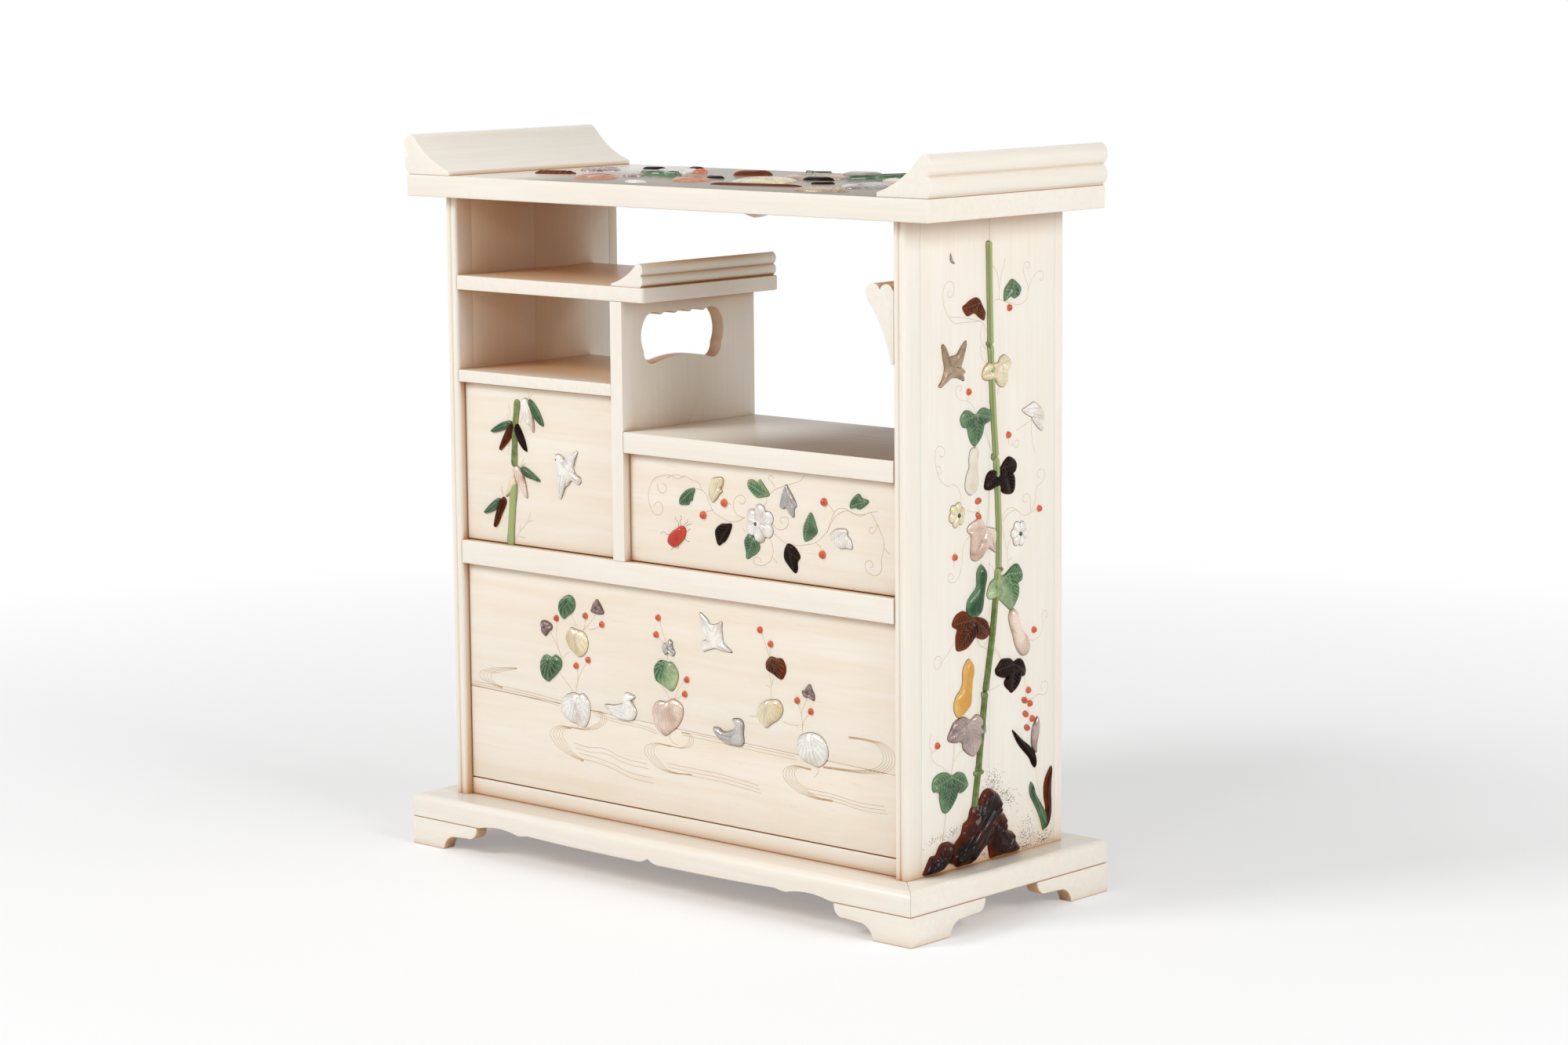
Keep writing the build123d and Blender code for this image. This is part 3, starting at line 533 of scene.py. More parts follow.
def roundOutline(points, count):
    # closed smooth line through the points, evenly spaced
    corners = np.array(points, float)
    samples = []
    total = len(corners)
    for index in range(total):
        before, start, end, after = (corners[(index + shift) % total] for shift in (-1, 0, 1, 2))
        for step in np.linspace(0, 1, 12, endpoint=False):
            samples.append(0.5 * (2 * start + (end - before) * step
                                  + (2 * before - 5 * start + 4 * end - after) * step ** 2
                                  + (3 * start - before - 3 * end + after) * step ** 3))
    samples = np.array(samples + [samples[0]])
    length = np.concatenate([[0], np.cumsum(np.hypot(*np.diff(samples, axis=0).T))])
    wanted = np.linspace(0, length[-1], count, endpoint=False)
    return np.stack([np.interp(wanted, length, samples[:, k]) for k in (0, 1)], axis=1)


def footOn(points, line):
    # nearest spot on the line for each point, and how far along the line it lies
    line = np.array(line, float)
    if len(line) == 1:
        return np.repeat(line, len(points), 0), np.zeros(len(points))
    best = np.full(len(points), np.inf)
    along, foot = np.zeros(len(points)), np.zeros((len(points), 2))
    run = 0.0
    for start, end in zip(line[:-1], line[1:]):
        step = end - start
        length = math.hypot(*step)
        share = np.clip((points - start) @ step / length ** 2, 0, 1)
        spot = start + share[:, None] * step
        gap = np.hypot(*(points - spot).T)
        closer = gap < best
        best[closer], foot[closer], along[closer] = gap[closer], spot[closer], (run + share * length)[closer]
        run += length
    return foot, along


def nearestOn(points, line):
    # distance from each point to the line, and how far along it
    foot, along = footOn(points, line)
    return np.hypot(*(points - foot).T), along


carveBase = {
    "height": 1.0, "segments": 72, "rings": 12, "fullness": 3.0, "veins": [], "veinDepth": 0.16,
    "veinWidth": 0.3,
    "lobeDip": 0.0, "lobeWidth": 1.3, "hatch": 0.0, "pitch": 1.2, "slant": 0.7, "toneFrom": None,
    "ridges": [],
    "ridgeRise": 0.3, "ridgeWidth": 1.0, "sink": 0.25, "seam": True, "grooves": [], "grooveDepth": 0.45,
    "grooveWidth": 0.42}
seamLines = {panelName: [] for panelName in panels}


def carve(name, panelName, outline, spine, finishName, **changes):
    look = {**carveBase, **changes}
    deselectAll()
    bpy.ops.mesh.primitive_uv_sphere_add(segments=look["segments"], ring_count=2 * look["rings"], radius=1)
    piece = bpy.context.object
    bpy.ops.object.mode_set(mode="EDIT")
    bpy.ops.mesh.select_all(action="SELECT")
    bpy.ops.mesh.bisect(plane_co=(0, 0, -0.001), plane_no=(0, 0, 1), clear_inner=True)
    bpy.ops.mesh.select_all(action="DESELECT")
    bpy.ops.object.mode_set(mode="OBJECT")
    mesh = piece.data
    for vertex in mesh.vertices:
        vertex.select = vertex.co.z > 0.9999
    bpy.ops.object.mode_set(mode="EDIT")
    bpy.ops.mesh.dissolve_verts()  # one flat face in place of the pole, so that a bent spine doesn't fold it
    bpy.ops.object.mode_set(mode="OBJECT")
    ball = np.zeros(len(mesh.vertices) * 3)
    mesh.vertices.foreach_get("co", ball)
    ball = ball.reshape(-1, 3)
    rim = roundOutline(outline, look["segments"])
    if look["seam"]:
        seamLines[panelName].append(rim[::max(1, look["segments"] // 40)].tolist())
    spread = np.clip(np.hypot(ball[:, 0], ball[:, 1]), 0, 1)
    turns = np.degrees(np.arctan2(ball[:, 1], ball[:, 0])) % 360 / 360
    index = np.round(turns * look["segments"]).astype(int) % look["segments"]
    heart = footOn(rim, spine)[0]
    flat = heart[index] + spread[:, None] * (rim[index] - heart[index])
    rise = look["height"] * np.sqrt(np.clip(1 - spread ** look["fullness"], 0, 1))
    inside = np.clip(1 - spread ** 8, 0, 1)
    cut = np.zeros(len(flat))
    if look["veins"]:
        gaps, alongs = np.array([nearestOn(flat, vein) for vein in look["veins"]]).transpose(1, 0, 2)
        nearest = gaps.argmin(axis=0)
        gap, along = gaps[nearest, np.arange(len(flat))], alongs[nearest, np.arange(len(flat))]
        groove = np.exp(-(gap / look["veinWidth"]) ** 2)
        rise -= (look["veinDepth"] * groove + look["lobeDip"] * np.exp(-(gap / look["lobeWidth"]) ** 2)) * inside
        cut = np.exp(-(gap / (0.7 * look["veinWidth"])) ** 2)
    if look["hatch"]:
        comb = (0.5 + 0.5 * np.cos(2 * math.pi * (along - look["slant"] * gap) / look["pitch"])) ** 4
        rise -= look["hatch"] * comb * inside
        cut = np.maximum(cut, 0.7 * comb * inside)
    for groove in look["grooves"]:
        dip = np.exp(-(nearestOn(flat, groove)[0] / look["grooveWidth"]) ** 2)
        rise -= look["grooveDepth"] * dip * inside
        cut = np.maximum(cut, 0.6 * dip ** 3)
    for ridge in look["ridges"]:
        gap = nearestOn(flat, ridge)[0]
        rise += look["ridgeRise"] * np.exp(-(gap / look["ridgeWidth"]) ** 2) * inside
    rise[ball[:, 2] < -0.0005] = -look["sink"]
    rise = np.maximum(rise, -look["sink"])
    # rises toward the rim: painted shade on pearl finishes, a lighter rim on carved ones; toneFrom replaces it
    # with a colour gradient across the motif
    toneAndRimShade = spread ** 4 * 0.7
    if look["toneFrom"]:
        start, end = (np.array(point, float) for point in look["toneFrom"])
        step = end - start
        toneAndRimShade = np.clip((flat - start) @ step / (step @ step), 0, 1)
    mesh.vertices.foreach_set("co", onPanel(panelName, np.column_stack([flat, rise])).ravel())
    for attributeName, values in (("toneAndRimShade", toneAndRimShade), ("vein", cut)):
        attribute = mesh.attributes.new(attributeName, "FLOAT", "POINT")
        attribute.data.foreach_set("value", values.astype(np.float32))
    mesh.update()
    bpy.ops.object.shade_smooth()
    piece.name = name
    piece["finishName"] = finishName
    return piece


def gather(pieceList, namePrefix, panelName, node):
    # one piece per finish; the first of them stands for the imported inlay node
    byFinish = {}
    for piece in pieceList:
        byFinish.setdefault(piece["finishName"], []).append(piece)
    for number, (finishName, group) in enumerate(byFinish.items()):
        joined = joinPieces(f"{namePrefix}_{finishName}", group)
        givePiece(joined, finishes[finishName], panels[panelName]["body"],
                  [node] if number == 0 else ())


def berryOutline(centre, radius=0.95):
    return [(centre[0] + radius * math.cos(t), centre[1] + radius * math.sin(t)) for t in aroundCircle(8)]


def berries(panelName, centres, radius=0.95, finishName="coral"):
    return [carve("berry", panelName, berryOutline(centre, radius), [centre], finishName,
                  height=0.95 * radius,
                  segments=20, rings=5, fullness=2.0, seam=False) for centre in centres]


def star(centre, radius, petals, turn, dip=0.82):
    # flower outline: petals with a slight point each
    points = []
    for petal in range(petals):
        for share, reach in ((-0.5, dip), (-0.28, 0.93), (0.0, 1.0), (0.28, 0.93)):
            angle = math.radians(turn + (petal + share) * 360 / petals)
            points.append((centre[0] + reach * radius * math.cos(angle),
                           centre[1] + reach * radius * math.sin(angle)))
    return points


def rays(centre, radius, count, turn, inner=0.2):
    return [[(centre[0] + inner * radius * math.cos(a), centre[1] + inner * radius * math.sin(a)),
             (centre[0] + 0.92 * radius * math.cos(a), centre[1] + 0.92 * radius * math.sin(a))]
            for a in (math.radians(turn + k * 360 / count) for k in range(count))]


# right side: climbing gourd over a rock

vineLeaves = {
    "leafTop": {
        "finish": "greenStone", "spine": [(45.6, 174.6)],
        "outline": [(41.9, 173), (42.4, 171.6), (44.8, 172.8), (46.4, 172.1), (48.2, 172.6), (49.5, 174.4),
            (48.2, 176), (45.5, 177.4), (43.6, 176.2), (42.3, 174.9)], "veins": fromStalk((45.8, 176.5), [
                (42.6, 172.2), (49, 174.4), (46.3, 172.6)])},
    "leafRust": {
        "finish": "redHorn", "spine": [(29.4, 171.0)],
        "outline": [(24.1, 171), (25.5, 169), (26.8, 168.6), (29.1, 169.2), (31.4, 167.8), (33.2, 167),
                    (33.7, 167.8), (33.7, 169.2), (32.3, 171.5), (31.4, 172.8), (29.8, 173.4), (27.3, 172.8),
                    (25.5, 171.9)],
        "veins": fromStalk((31.4, 172), [(24.8, 170.8), (27, 169), (33.2, 167.6)])},
    "leafPale": {
        "finish": "yellowPearl", "spine": [(36.5, 152.6), (42.0, 152.2)],
        "outline": [(32.4, 151.7), (33.4, 150.5), (35.5, 150.2), (37.7, 150.3), (39.5, 148.5), (41.6, 147.8),
            (43, 148.7), (43, 150.1), (43.2, 152.4), (44.8, 154), (44.8, 155.1), (43.2, 156.2), (41.6, 156.7),
                    (40, 156), (39.1, 154.7), (36.4, 155.1), (34.8, 154.9), (33.2, 153.7)],
        "veins": fromStalk((40.6, 154.4), [(33.2, 151.8), (41.8, 148.4), (44.2, 155.2)])},
    "leafTwin": {
        "finish": "greenStone", "spine": [(30, 138.6)],
        "outline": [(23, 140.3), (24.1, 138.3), (25.9, 137.9), (26.6, 135.7), (27.7, 133.6), (29.5, 132.6),
                    (31.4, 134.1), (32.5, 135.7), (33.4, 138.2), (35.6, 138.9), (36.9, 139.9), (36.5, 141.2),
                    (35.4, 142.1), (33.2, 142.8), (31.4, 142.4), (30, 141.3), (29, 141.5), (27.3, 142.4),
                    (25.2, 142.7), (23.7, 141.8)],
        "veins": fromStalk((30, 141.3), [(29.5, 133.2), (23.9, 140), (36, 140)])},
    "leafBlack": {
        "finish": "darkHorn", "spine": [(38, 122.6), (42.6, 122.8)],
        "outline": [(33.4, 121.6), (33.6, 120.2), (35.9, 119.7), (38.2, 120.2), (40, 119.5), (41.8, 118.2),
                    (45, 117.7), (46.4, 118.6), (46.7, 120.9), (46.4, 122.7), (45.5, 123.9), (47, 124.3),
                    (47.5, 125.9), (46.4, 127.3), (43.9, 128.2), (41.8, 127), (40.5, 125.7), (38.2, 125.1),
                    (35.9, 125), (34.3, 123.9)],
        "veins": fromStalk((41.5, 125.6), [(34.2, 121.4), (44.6, 118.2), (46.5, 125.8)])},
    "leafRose": {
        "finish": "pinkPearl", "spine": [(30.4, 107.5), (33.5, 105.5)], "toneFrom": [(36, 110), (30, 101)],
        "outline": [(25.9, 109.5), (27.3, 108.2), (27.7, 107.3), (27.5, 104.5), (27.5, 101.8), (29.1, 100.7),
                    (31.8, 101.1), (35, 103.6), (38.2, 102.1), (38.3, 104.1), (38.4, 108.2), (36.4, 109.1),
                    (34.1, 109.8), (32.7, 111.4), (31.4, 112.3), (29.1, 111.8), (26.8, 110.9)],
        "veins": fromStalk((34.3, 109.5), [
            (26.5, 109.4), (28.5, 101.5), (38, 103.2)])},
    "leafEdged": {
        "finish": "paleGreenStone", "spine": [(42, 92.2), (45.2, 92.4)],
        "toneFrom": [(45.5, 93.5), (36.5, 87.5)],
        "outline": [(34.4, 90.5), (35.5, 89.3), (38.2, 89), (40, 88.4), (42.7, 86.4), (45, 85), (46.8, 86.4),
            (48.2, 88.6), (48.4, 90.9), (48, 92.3), (49.8, 93.2), (50.1, 94.8), (49.1, 96.6), (47.7, 97.7),
                    (45.5, 97.3), (43.6, 96.1), (41.8, 95.2), (39.1, 95.1), (36.4, 94.1), (35.2, 92.7)],
        "veins": fromStalk((43.6, 95.4), [
            (35.4, 91), (45.4, 85.8), (49.6, 95)])},
    "leafBrown": {
        "finish": "redHorn", "spine": [(25.4, 81.8), (29.5, 82)],
        "outline": [(19.5, 84.5), (19.8, 83.4), (21.6, 82.5), (21, 80.5), (21.1, 77.3), (22.3, 76.4),
            (25.5, 76.6), (27.3, 77.7), (29.3, 79.3), (31.4, 78.6), (33.6, 78.3), (35.4, 79.3), (35.5, 80.9),
                    (34.5, 83.2), (31.8, 84.5), (29.1, 85), (26.8, 85.5), (25.5, 86.8), (23.6, 87.3),
                    (20.9, 86.4)], "veins": fromStalk((28.8, 84.4), [(20.3, 84.2), (22, 77), (34.8, 80)])},
    "leafDark": {
        "finish": "darkHorn", "spine": [(43.6, 67.6), (47.2, 67.4)],
        "outline": [(38.1, 68.9), (38.6, 67.5), (40.9, 66.4), (43, 66.1), (42, 64.8), (42.5, 63.6),
            (44.1, 62.3), (45.5, 61.4), (47.7, 62.7), (49.1, 64.5), (49.3, 65.5), (50.9, 65.5), (51.6, 66.8),
            (51.1, 68.6), (50, 70.2), (48.2, 70.7), (46.1, 70.2), (45, 71.1), (42.7, 71.5), (40.7, 71.4),
                    (39.1, 70)], "veins": fromStalk((46, 69.6), [(38.8, 68.6), (45.5, 62), (51, 67.2)])},
    "leafViolet": {
        "finish": "violetPearl", "spine": [(24, 53.6), (29, 53)], "toneFrom": [(27, 50), (18, 55)],
        "outline": [(17.4, 52.7), (18.2, 51.6), (20.9, 50.9), (23.4, 50.7), (24.1, 48.6), (26.4, 46.8),
            (28.6, 46), (30.2, 46.8), (31.8, 49.1), (31.8, 51.6), (33.9, 51.8), (34, 53.6), (33.4, 55.2),
                    (31.4, 57), (29.5, 57.5), (27.3, 56.4), (25, 57.5), (22.7, 57.6), (20, 56.6),
                    (18.6, 54.8)], "veins": fromStalk((27.3, 55.8), [(18, 52.6), (28.8, 46.6), (33.6, 53)])},
    "leafLow": {
        "finish": "greenStone", "spine": [(16.6, 38.6), (20.4, 38.8)],
        "outline": [(10.8, 40), (11.4, 38.6), (13.6, 38.2), (13.9, 35.9), (15, 32.7), (16.8, 31.8),
            (18.6, 32.7), (20.5, 35), (21.1, 36.8), (23.6, 36.5), (26.1, 38), (25.9, 39.5), (24.5, 41.6),
                    (21.8, 42.5), (19.5, 42), (17.3, 43), (15, 43.4), (12.7, 43), (11.1, 41.8)],
        "veins": fromStalk((18.9, 41.6), [(11.6, 40), (16.6, 32.6), (25.4, 38.4)])}}
vineCut = {
    "height": 1.25, "segments": 112, "rings": 20, "fullness": 3.2, "veinDepth": 0.22, "veinWidth": 0.24,
    "lobeDip": 0.42, "lobeWidth": 1.1, "hatch": 0.07, "pitch": 1.15, "slant": 0.75}
sideLeaves = []
for name, leaf in vineLeaves.items():
    extra = {"toneFrom": leaf["toneFrom"]} if "toneFrom" in leaf else {}
    sideLeaves.append(carve(name, "side", leaf["outline"], leaf["spine"], leaf["finish"], veins=leaf["veins"],
                            **vineCut, **extra))

blades = {
    "bladeBlack": {
        "finish": "darkHorn", "spine": [(47, 49), (51, 45.6), (55, 41.5)],
        "outline": [(45.7, 50.7), (46.4, 49.1), (48.2, 46.4), (50.5, 44.1), (53, 41.8), (54.5, 39.5),
            (55.8, 38.4), (56.4, 39.3), (56.1, 41.4), (55, 43.6), (52.7, 45.5), (50, 47.3), (47.3, 49.5)]},
    "bladeGrey": {
        "finish": "violetPearl", "spine": [(56.6, 51.2), (55.5, 46), (55.9, 43.8)],
        "outline": [(56.8, 53), (55.2, 50.9), (54.3, 48.6), (54.2, 45.5), (55, 43.6), (56.1, 42.5),
                    (56.4, 45), (57.5, 48.2), (57.7, 50.9)]},
    "bladeGreen": {
        "finish": "greenStone", "spine": [(54.5, 32), (57, 27.8), (60, 22)],
        "outline": [(54.1, 34.5), (53.4, 33.2), (53.6, 30.9), (55, 28.6), (56.8, 25.9), (58.4, 22.7),
                    (59.5, 19.8), (60.9, 20.9), (60.9, 24.1), (59.5, 26.4), (57.3, 29.1), (55.9, 30.9),
                    (55.2, 33.2)]},
    "bladeRust": {
        "finish": "redHorn", "spine": [(62.3, 35), (61.4, 30), (62, 25), (60.8, 21.5)],
        "outline": [(63.3, 37.7), (61.1, 35.5), (59.9, 32.7), (59.9, 29.1), (60.7, 25.5), (59.8, 20.2),
                    (61.4, 20.7), (62.7, 22.7), (63.1, 26.4), (63, 30.5), (63, 33.6)]}}
for name, blade in blades.items():
    sideLeaves.append(carve(name, "side", blade["outline"], blade["spine"], blade["finish"], height=0.8,
                            veins=[blade["spine"]], veinDepth=0.12, veinWidth=0.25))
gather(sideLeaves, "sideLeaves", "side", "side_inlay_leaves")

gourds = {
    "gourdWhite": {
        "finish": "whiteBone", "spine": [(28.8, 130.2), (28.6, 127), (27.8, 122.5)],
        "outline": [(29.1, 132.3), (27.5, 131.6), (26.8, 129.5), (26.8, 126.8), (25.7, 125), (25.1, 122.3),
                    (25.5, 120.5), (27.3, 119.2), (29.1, 119.8), (30.2, 121.8), (30.2, 124.1), (29.5, 126.4),
                    (29.8, 128.6), (30.4, 130.9), (30, 132)]},
    "gourdGreen": {
        "finish": "greenStone", "spine": [(31.8, 96.8), (31.3, 92.8), (29.3, 88.3)],
        "outline": [(31.8, 99.3), (30.2, 97.7), (30, 95.5), (29.8, 93.2), (27.3, 91.1), (25.9, 89.5),
            (25.7, 86.8), (27.3, 85.2), (29.5, 84.9), (31.6, 85.7), (32.6, 87.7), (33, 91.4), (33.4, 93.2),
                    (34.2, 95.5), (33.9, 97.3), (33, 98.6)]},
    "gourdPeach": {
        "finish": "pinkPearl", "spine": [(46, 83), (47.2, 79), (50, 74.5)], "toneFrom": [(46, 84), (51, 70)],
        "outline": [(44.8, 85), (44, 83.2), (44.5, 80.9), (45.7, 78.2), (46.8, 75), (48.6, 72.3),
            (50.5, 71.3), (52.3, 71.6), (53.3, 73.6), (52.3, 76.4), (50.5, 78), (48.9, 79.8), (48.4, 82.3),
                    (47.5, 84.1), (46.1, 85.2)]},
    "gourdAmber": {
        "finish": "amber", "spine": [(26.2, 71), (25.7, 66.5), (23.8, 61.5)],
        "outline": [(26.1, 73.5), (24.5, 71.8), (23.9, 70), (23.9, 67.7), (23.2, 65.7), (20.9, 63.6),
            (20.1, 61.4), (20.5, 59.3), (22.3, 57.7), (25, 58.9), (27.3, 60.9), (27.5, 64.1), (27.7, 67.3),
                    (28.5, 69.5), (28.2, 71.8), (27.3, 73.2)]}}
sideFruit = []
for name, gourd in gourds.items():
    sideFruit.append(carve(name,
        "side", gourd["outline"], gourd["spine"], gourd["finish"], height=1.5, fullness=2.2,
                           segments=72, rings=14))
sideFruit += berries("side",
                     [(44.3, 169.6), (26.7, 147.8), (43.9, 134.3), (57.6, 112.2), (20.6, 102.7), (55.3, 78),
                      (52.8, 61.1), (53.5, 57.2), (54.5, 52.7), (13, 51.3)], 1.0)
for centre, tilt in (((30.8, 117.2), 5), ((30.9, 113.0), -40), ((51.2, 58.4), -25), ((51.7, 54.4), -25),
                     ((52.3, 50.4), -25)):
    oval = turned([(1.3 * math.cos(t), 0.8 * math.sin(t)) for t in aroundCircle(10)], centre, tilt)
    sideFruit.append(carve("seed", "side", oval, [centre],
                           "coral", height=0.75, segments=20, rings=5, fullness=2.0))
gather(sideFruit, "sideFruit", "side", "side_inlay_fruit")

sideBlooms = [carve("birdBrown", "side",
                    [(15.3, 161.5), (15.6, 158.5), (16.3, 155.5), (16, 153.5), (15, 151.6), (13.8, 150.1),
                     (15.6, 150.2), (17.5, 151.2), (19.5, 152.2), (22, 152), (24.7, 151), (23.8, 152.3),
                     (25.2, 153.4), (24, 154.4), (22.8, 155.5), (24, 157.5), (25, 159.5), (25.8, 161.9),
                     (24, 161), (22.6, 159.5), (21.3, 158.3), (19.6, 158.2), (18.3, 158), (17.2, 159.8),
                     (16.4, 161.4)],
                    [(17.4, 154.4), (20.4, 155.4), (22.4, 154.2)],
                    "brownPearl", height=0.9, segments=96, rings=12,
                    fullness=4.0, toneFrom=[(15, 151), (21, 157)],
                    veins=[[(16.2, 160.8), (17.4, 156.6), (19.5, 155)],
                           [(25, 161), (22, 157.2), (19.5, 156)], [(14.6, 150.6), (17, 153), (20, 154.4)],
                           [(17, 159), (18.2, 156)]], veinDepth=0.1),
              carve("bloomYellow", "side", star((21.6, 114.3), 3.5, 6, 15), [(21.6, 114.3)], "yellowPearl",
                    height=0.8, veins=rays((21.6, 114.3), 3.5, 6, 45), veinDepth=0.22, segments=72),
              carve("bloomSilver", "side", star((48.7, 106.1), 3.7, 6, -5), [(48.7, 106.1)],
                    "whitePearl", height=0.8,
                    veins=rays((48.7, 106.1), 3.7, 6, 25), veinDepth=0.22, segments=72),
              carve("bloomHeart1", "side", star((21.8, 114.2), 0.85, 4, 0, 0.8), [(21.8, 114.2)],
                    "greenStone",
                    height=1.1, segments=16, rings=4),
              carve("bloomHeart2", "side", star((48.6, 106.1), 0.9, 4, 0, 0.8), [(48.6, 106.1)], "greenStone",
                    height=1.1, segments=16, rings=4),
              carve("mothWing1", "side",
                    [(50, 140.5), (52, 139.2), (54.5, 138.2), (57, 137.8), (59.4, 137.2), (59.3, 139.5),
                     (57.5, 141.2), (55.2, 142.4), (53, 141.8), (51, 141.1)], [(53, 140.2), (57.6,
                            139.2)], "whitePearl", height=0.6,
                    veins=[[(50.6, 140.4), (58.8, 138)], [(52, 140.8), (57.6, 140.6)]], veinDepth=0.1),
              carve("mothWing2", "side",
                    [(54.3, 138), (55.5, 136.4), (57.2, 134.9), (58.8, 134.1), (59.4, 135), (58.9, 136.6),
                     (59, 137.6), (57, 138), (55.6, 138.2)],
                    [(56, 137.2), (58, 135.6)],
                    "whitePearl", height=0.5, veins=[[(55, 137.8), (58.6, 134.8)]],
                    veinDepth=0.1),
              carve("moonSliver", "side", [(19.2, 186.2), (18.9, 184.8), (19.4, 183.7), (20.9, 183.3),
                                           (20.2, 184), (19.7, 184.9)],
                    [(19.5, 184.4)], "violetPearl", height=0.3, segments=24, rings=5)]
gather(sideBlooms, "sideBlooms", "side", "side_inlay_blooms")

rockParts = {
    "rockLeft": {
        "finish": "rockHorn", "height": 1.5, "spine": [(11.5, 17.8), (16.4, 20)],
        "outline": [(6.8, 16.1), (9.1, 15.8), (13.6, 15.8), (15.5, 16.4), (17.2, 17.3), (18.4, 18.4),
            (19.8, 20.2), (20, 22.2), (18.9, 23), (17.3, 23.6), (14.5, 23.5), (13.2, 22.3), (12, 20.7),
                    (9.8, 20.5), (8, 18.2)],
        "ridges": [[(10.3, 20), (10, 18), (9, 16.6)], [(13.6, 22), (13.2, 19.4), (11.4, 17)],
                   [(17.6, 22.6), (16.4, 19.6), (14, 17)]]},
    "rockMain": {
        "finish": "rockHorn", "height": 1.8, "spine": [(20.5, 18.8), (27, 21.6), (32.5, 26.5), (36, 31)],
        "outline": [(17.6, 18), (19.8, 17), (21.4, 15.8), (24.5, 15.8), (27.7, 15.8), (30, 17.3),
            (32.7, 19.1), (35, 20.2), (36.4, 22), (37, 24), (39, 25.6), (41, 27), (40.7, 28.6), (40.5, 30.9),
            (39.5, 33.2), (36.8, 35.1), (34.5, 35.8), (32.3, 35), (30.9, 33.2), (29.1, 32.7), (27, 30.9),
                    (26.1, 28.4), (24.1, 27.5), (23.2, 25), (21.8, 23.6), (19.6, 21.8)],
        "ridges": [[(35.4, 34.6), (32.6, 31), (28.4, 26.4), (22.4, 21.4), (18.6, 18.6)],
                   [(30.6, 32.2), (28.4, 28), (24.6, 24), (20.4, 20.6)], [(26, 27.4), (24, 24.6), (21, 22)],
                   [(39.8, 31), (36, 29.4), (31, 24.6), (26, 20.4), (21, 17.6)],
            [(38.6, 27.4), (34.4, 25.6), (30.8, 21.8), (26.4, 18)], [(34.2, 21), (30.6, 19.6), (27.4, 17)]]},
    "rockRight": {
        "finish": "amberHorn", "height": 1.5, "spine": [(38.4, 23.6), (39, 19.6), (44, 18)],
        "outline": [(35.9, 15.8), (39, 15.8), (42.3, 15.8), (47.7, 15.8), (48.7, 16.7), (46.8, 19.1),
            (45.9, 21.4), (43.6, 22.5), (43.1, 23.8), (42.7, 26.4), (40.9, 28), (38.4, 27), (36.4, 25.4),
                    (35.2, 22.5), (34.8, 20), (35.2, 17.7)],
        "ridges": [[(42, 25.6), (38.6, 24.2), (36.6, 20.8), (36.8, 17)],
                   [(42, 22.6), (40, 20.4), (39.4, 17)], [(45.2, 20.6), (43.6, 18.4), (41.6, 16.8)]]}}


def betweenRidges(ridges):
    # the given folds, with a lower one between each two
    doubled = list(ridges)
    for first, second in zip(ridges[:-1], ridges[1:]):
        doubled.append(((divided(first, 5) + divided(second, 5)) / 2).tolist())
    return doubled


rockPieces = [
    carve(name, "side", part["outline"], part["spine"], part["finish"], height=part["height"], segments=180,
          rings=32,
          fullness=2.6, ridges=betweenRidges(part["ridges"]), ridgeRise=0.62, ridgeWidth=0.62)
    for name, part in rockParts.items()]
gather(rockPieces, "sideRock", "side", "side_inlay_rock")


def strip(line, width):
    # outline of a stem along a line
    line = np.array(line, float)
    steps = np.gradient(line, axis=0)
    across = np.column_stack([steps[:, 1], -steps[:, 0]]) / np.hypot(*steps.T)[:, None] * width / 2
    return np.vstack([line + across, (line - across)[::-1]]).tolist()


stemJoints = [[(35.3, 188.3), (35.4, 184), (35.6, 174), (35.9, 164), (36, 160.2)],
              [(36, 159.8), (36.6, 150), (37.3, 140), (38, 132), (38.3, 128.9)],
              [(38.4, 128.4), (39.1, 118), (39.6, 108), (39.5, 100), (39.4, 97.6)],
              [(39.3, 97.2), (38, 88), (36.6, 78), (35, 70), (33.7, 63.6)],
              [(33.6, 63.2), (32.6, 56), (31.4, 48), (30.6, 41.4)], [(30.5, 41), (29.6, 36), (28.8, 31.4)]]
stemPieces = []
for joint in stemJoints:
    fine = divided(joint, 14)
    stemPieces.append(carve("stemJoint", "side", strip(fine[::-1], 2.05), fine[1:-1].tolist(), "stemGreen",
                            height=0.95, segments=120, rings=8, fullness=2.4,
                            veins=[(fine + np.array([-0.66, 0])).tolist()], veinDepth=0.1, veinWidth=0.2,
                            toneFrom=[(34, 100), (38, 101)]))
for stub in ([(34.2, 160.6), (35.1, 159.2), (35.4, 158.6), (35.2, 160.6)], [(36.6, 129.6), (36.4, 128.4),
                                                                            (37.4, 128), (37.8, 129.2)],
             [(40.2, 97.9), (41, 97.3), (40.4, 96.2), (39.8, 97)], [(32.2, 63.4), (32.2, 62.2), (33.2, 61.8),
                                                                    (33.4, 63)],
             [(29, 41.4), (29, 40.4), (32.4, 40.4), (32.6, 41.4)]):
    centre = np.mean(np.array(stub), axis=0)
    stemPieces.append(carve("stemStub", "side", stub, [centre.tolist()], "stemGreen", height=1.0, segments=20,
                            rings=5))
gather(stemPieces, "sideStem", "side", "side_inlay_stem")
print("side carved")


# left drawer: bamboo and a bird

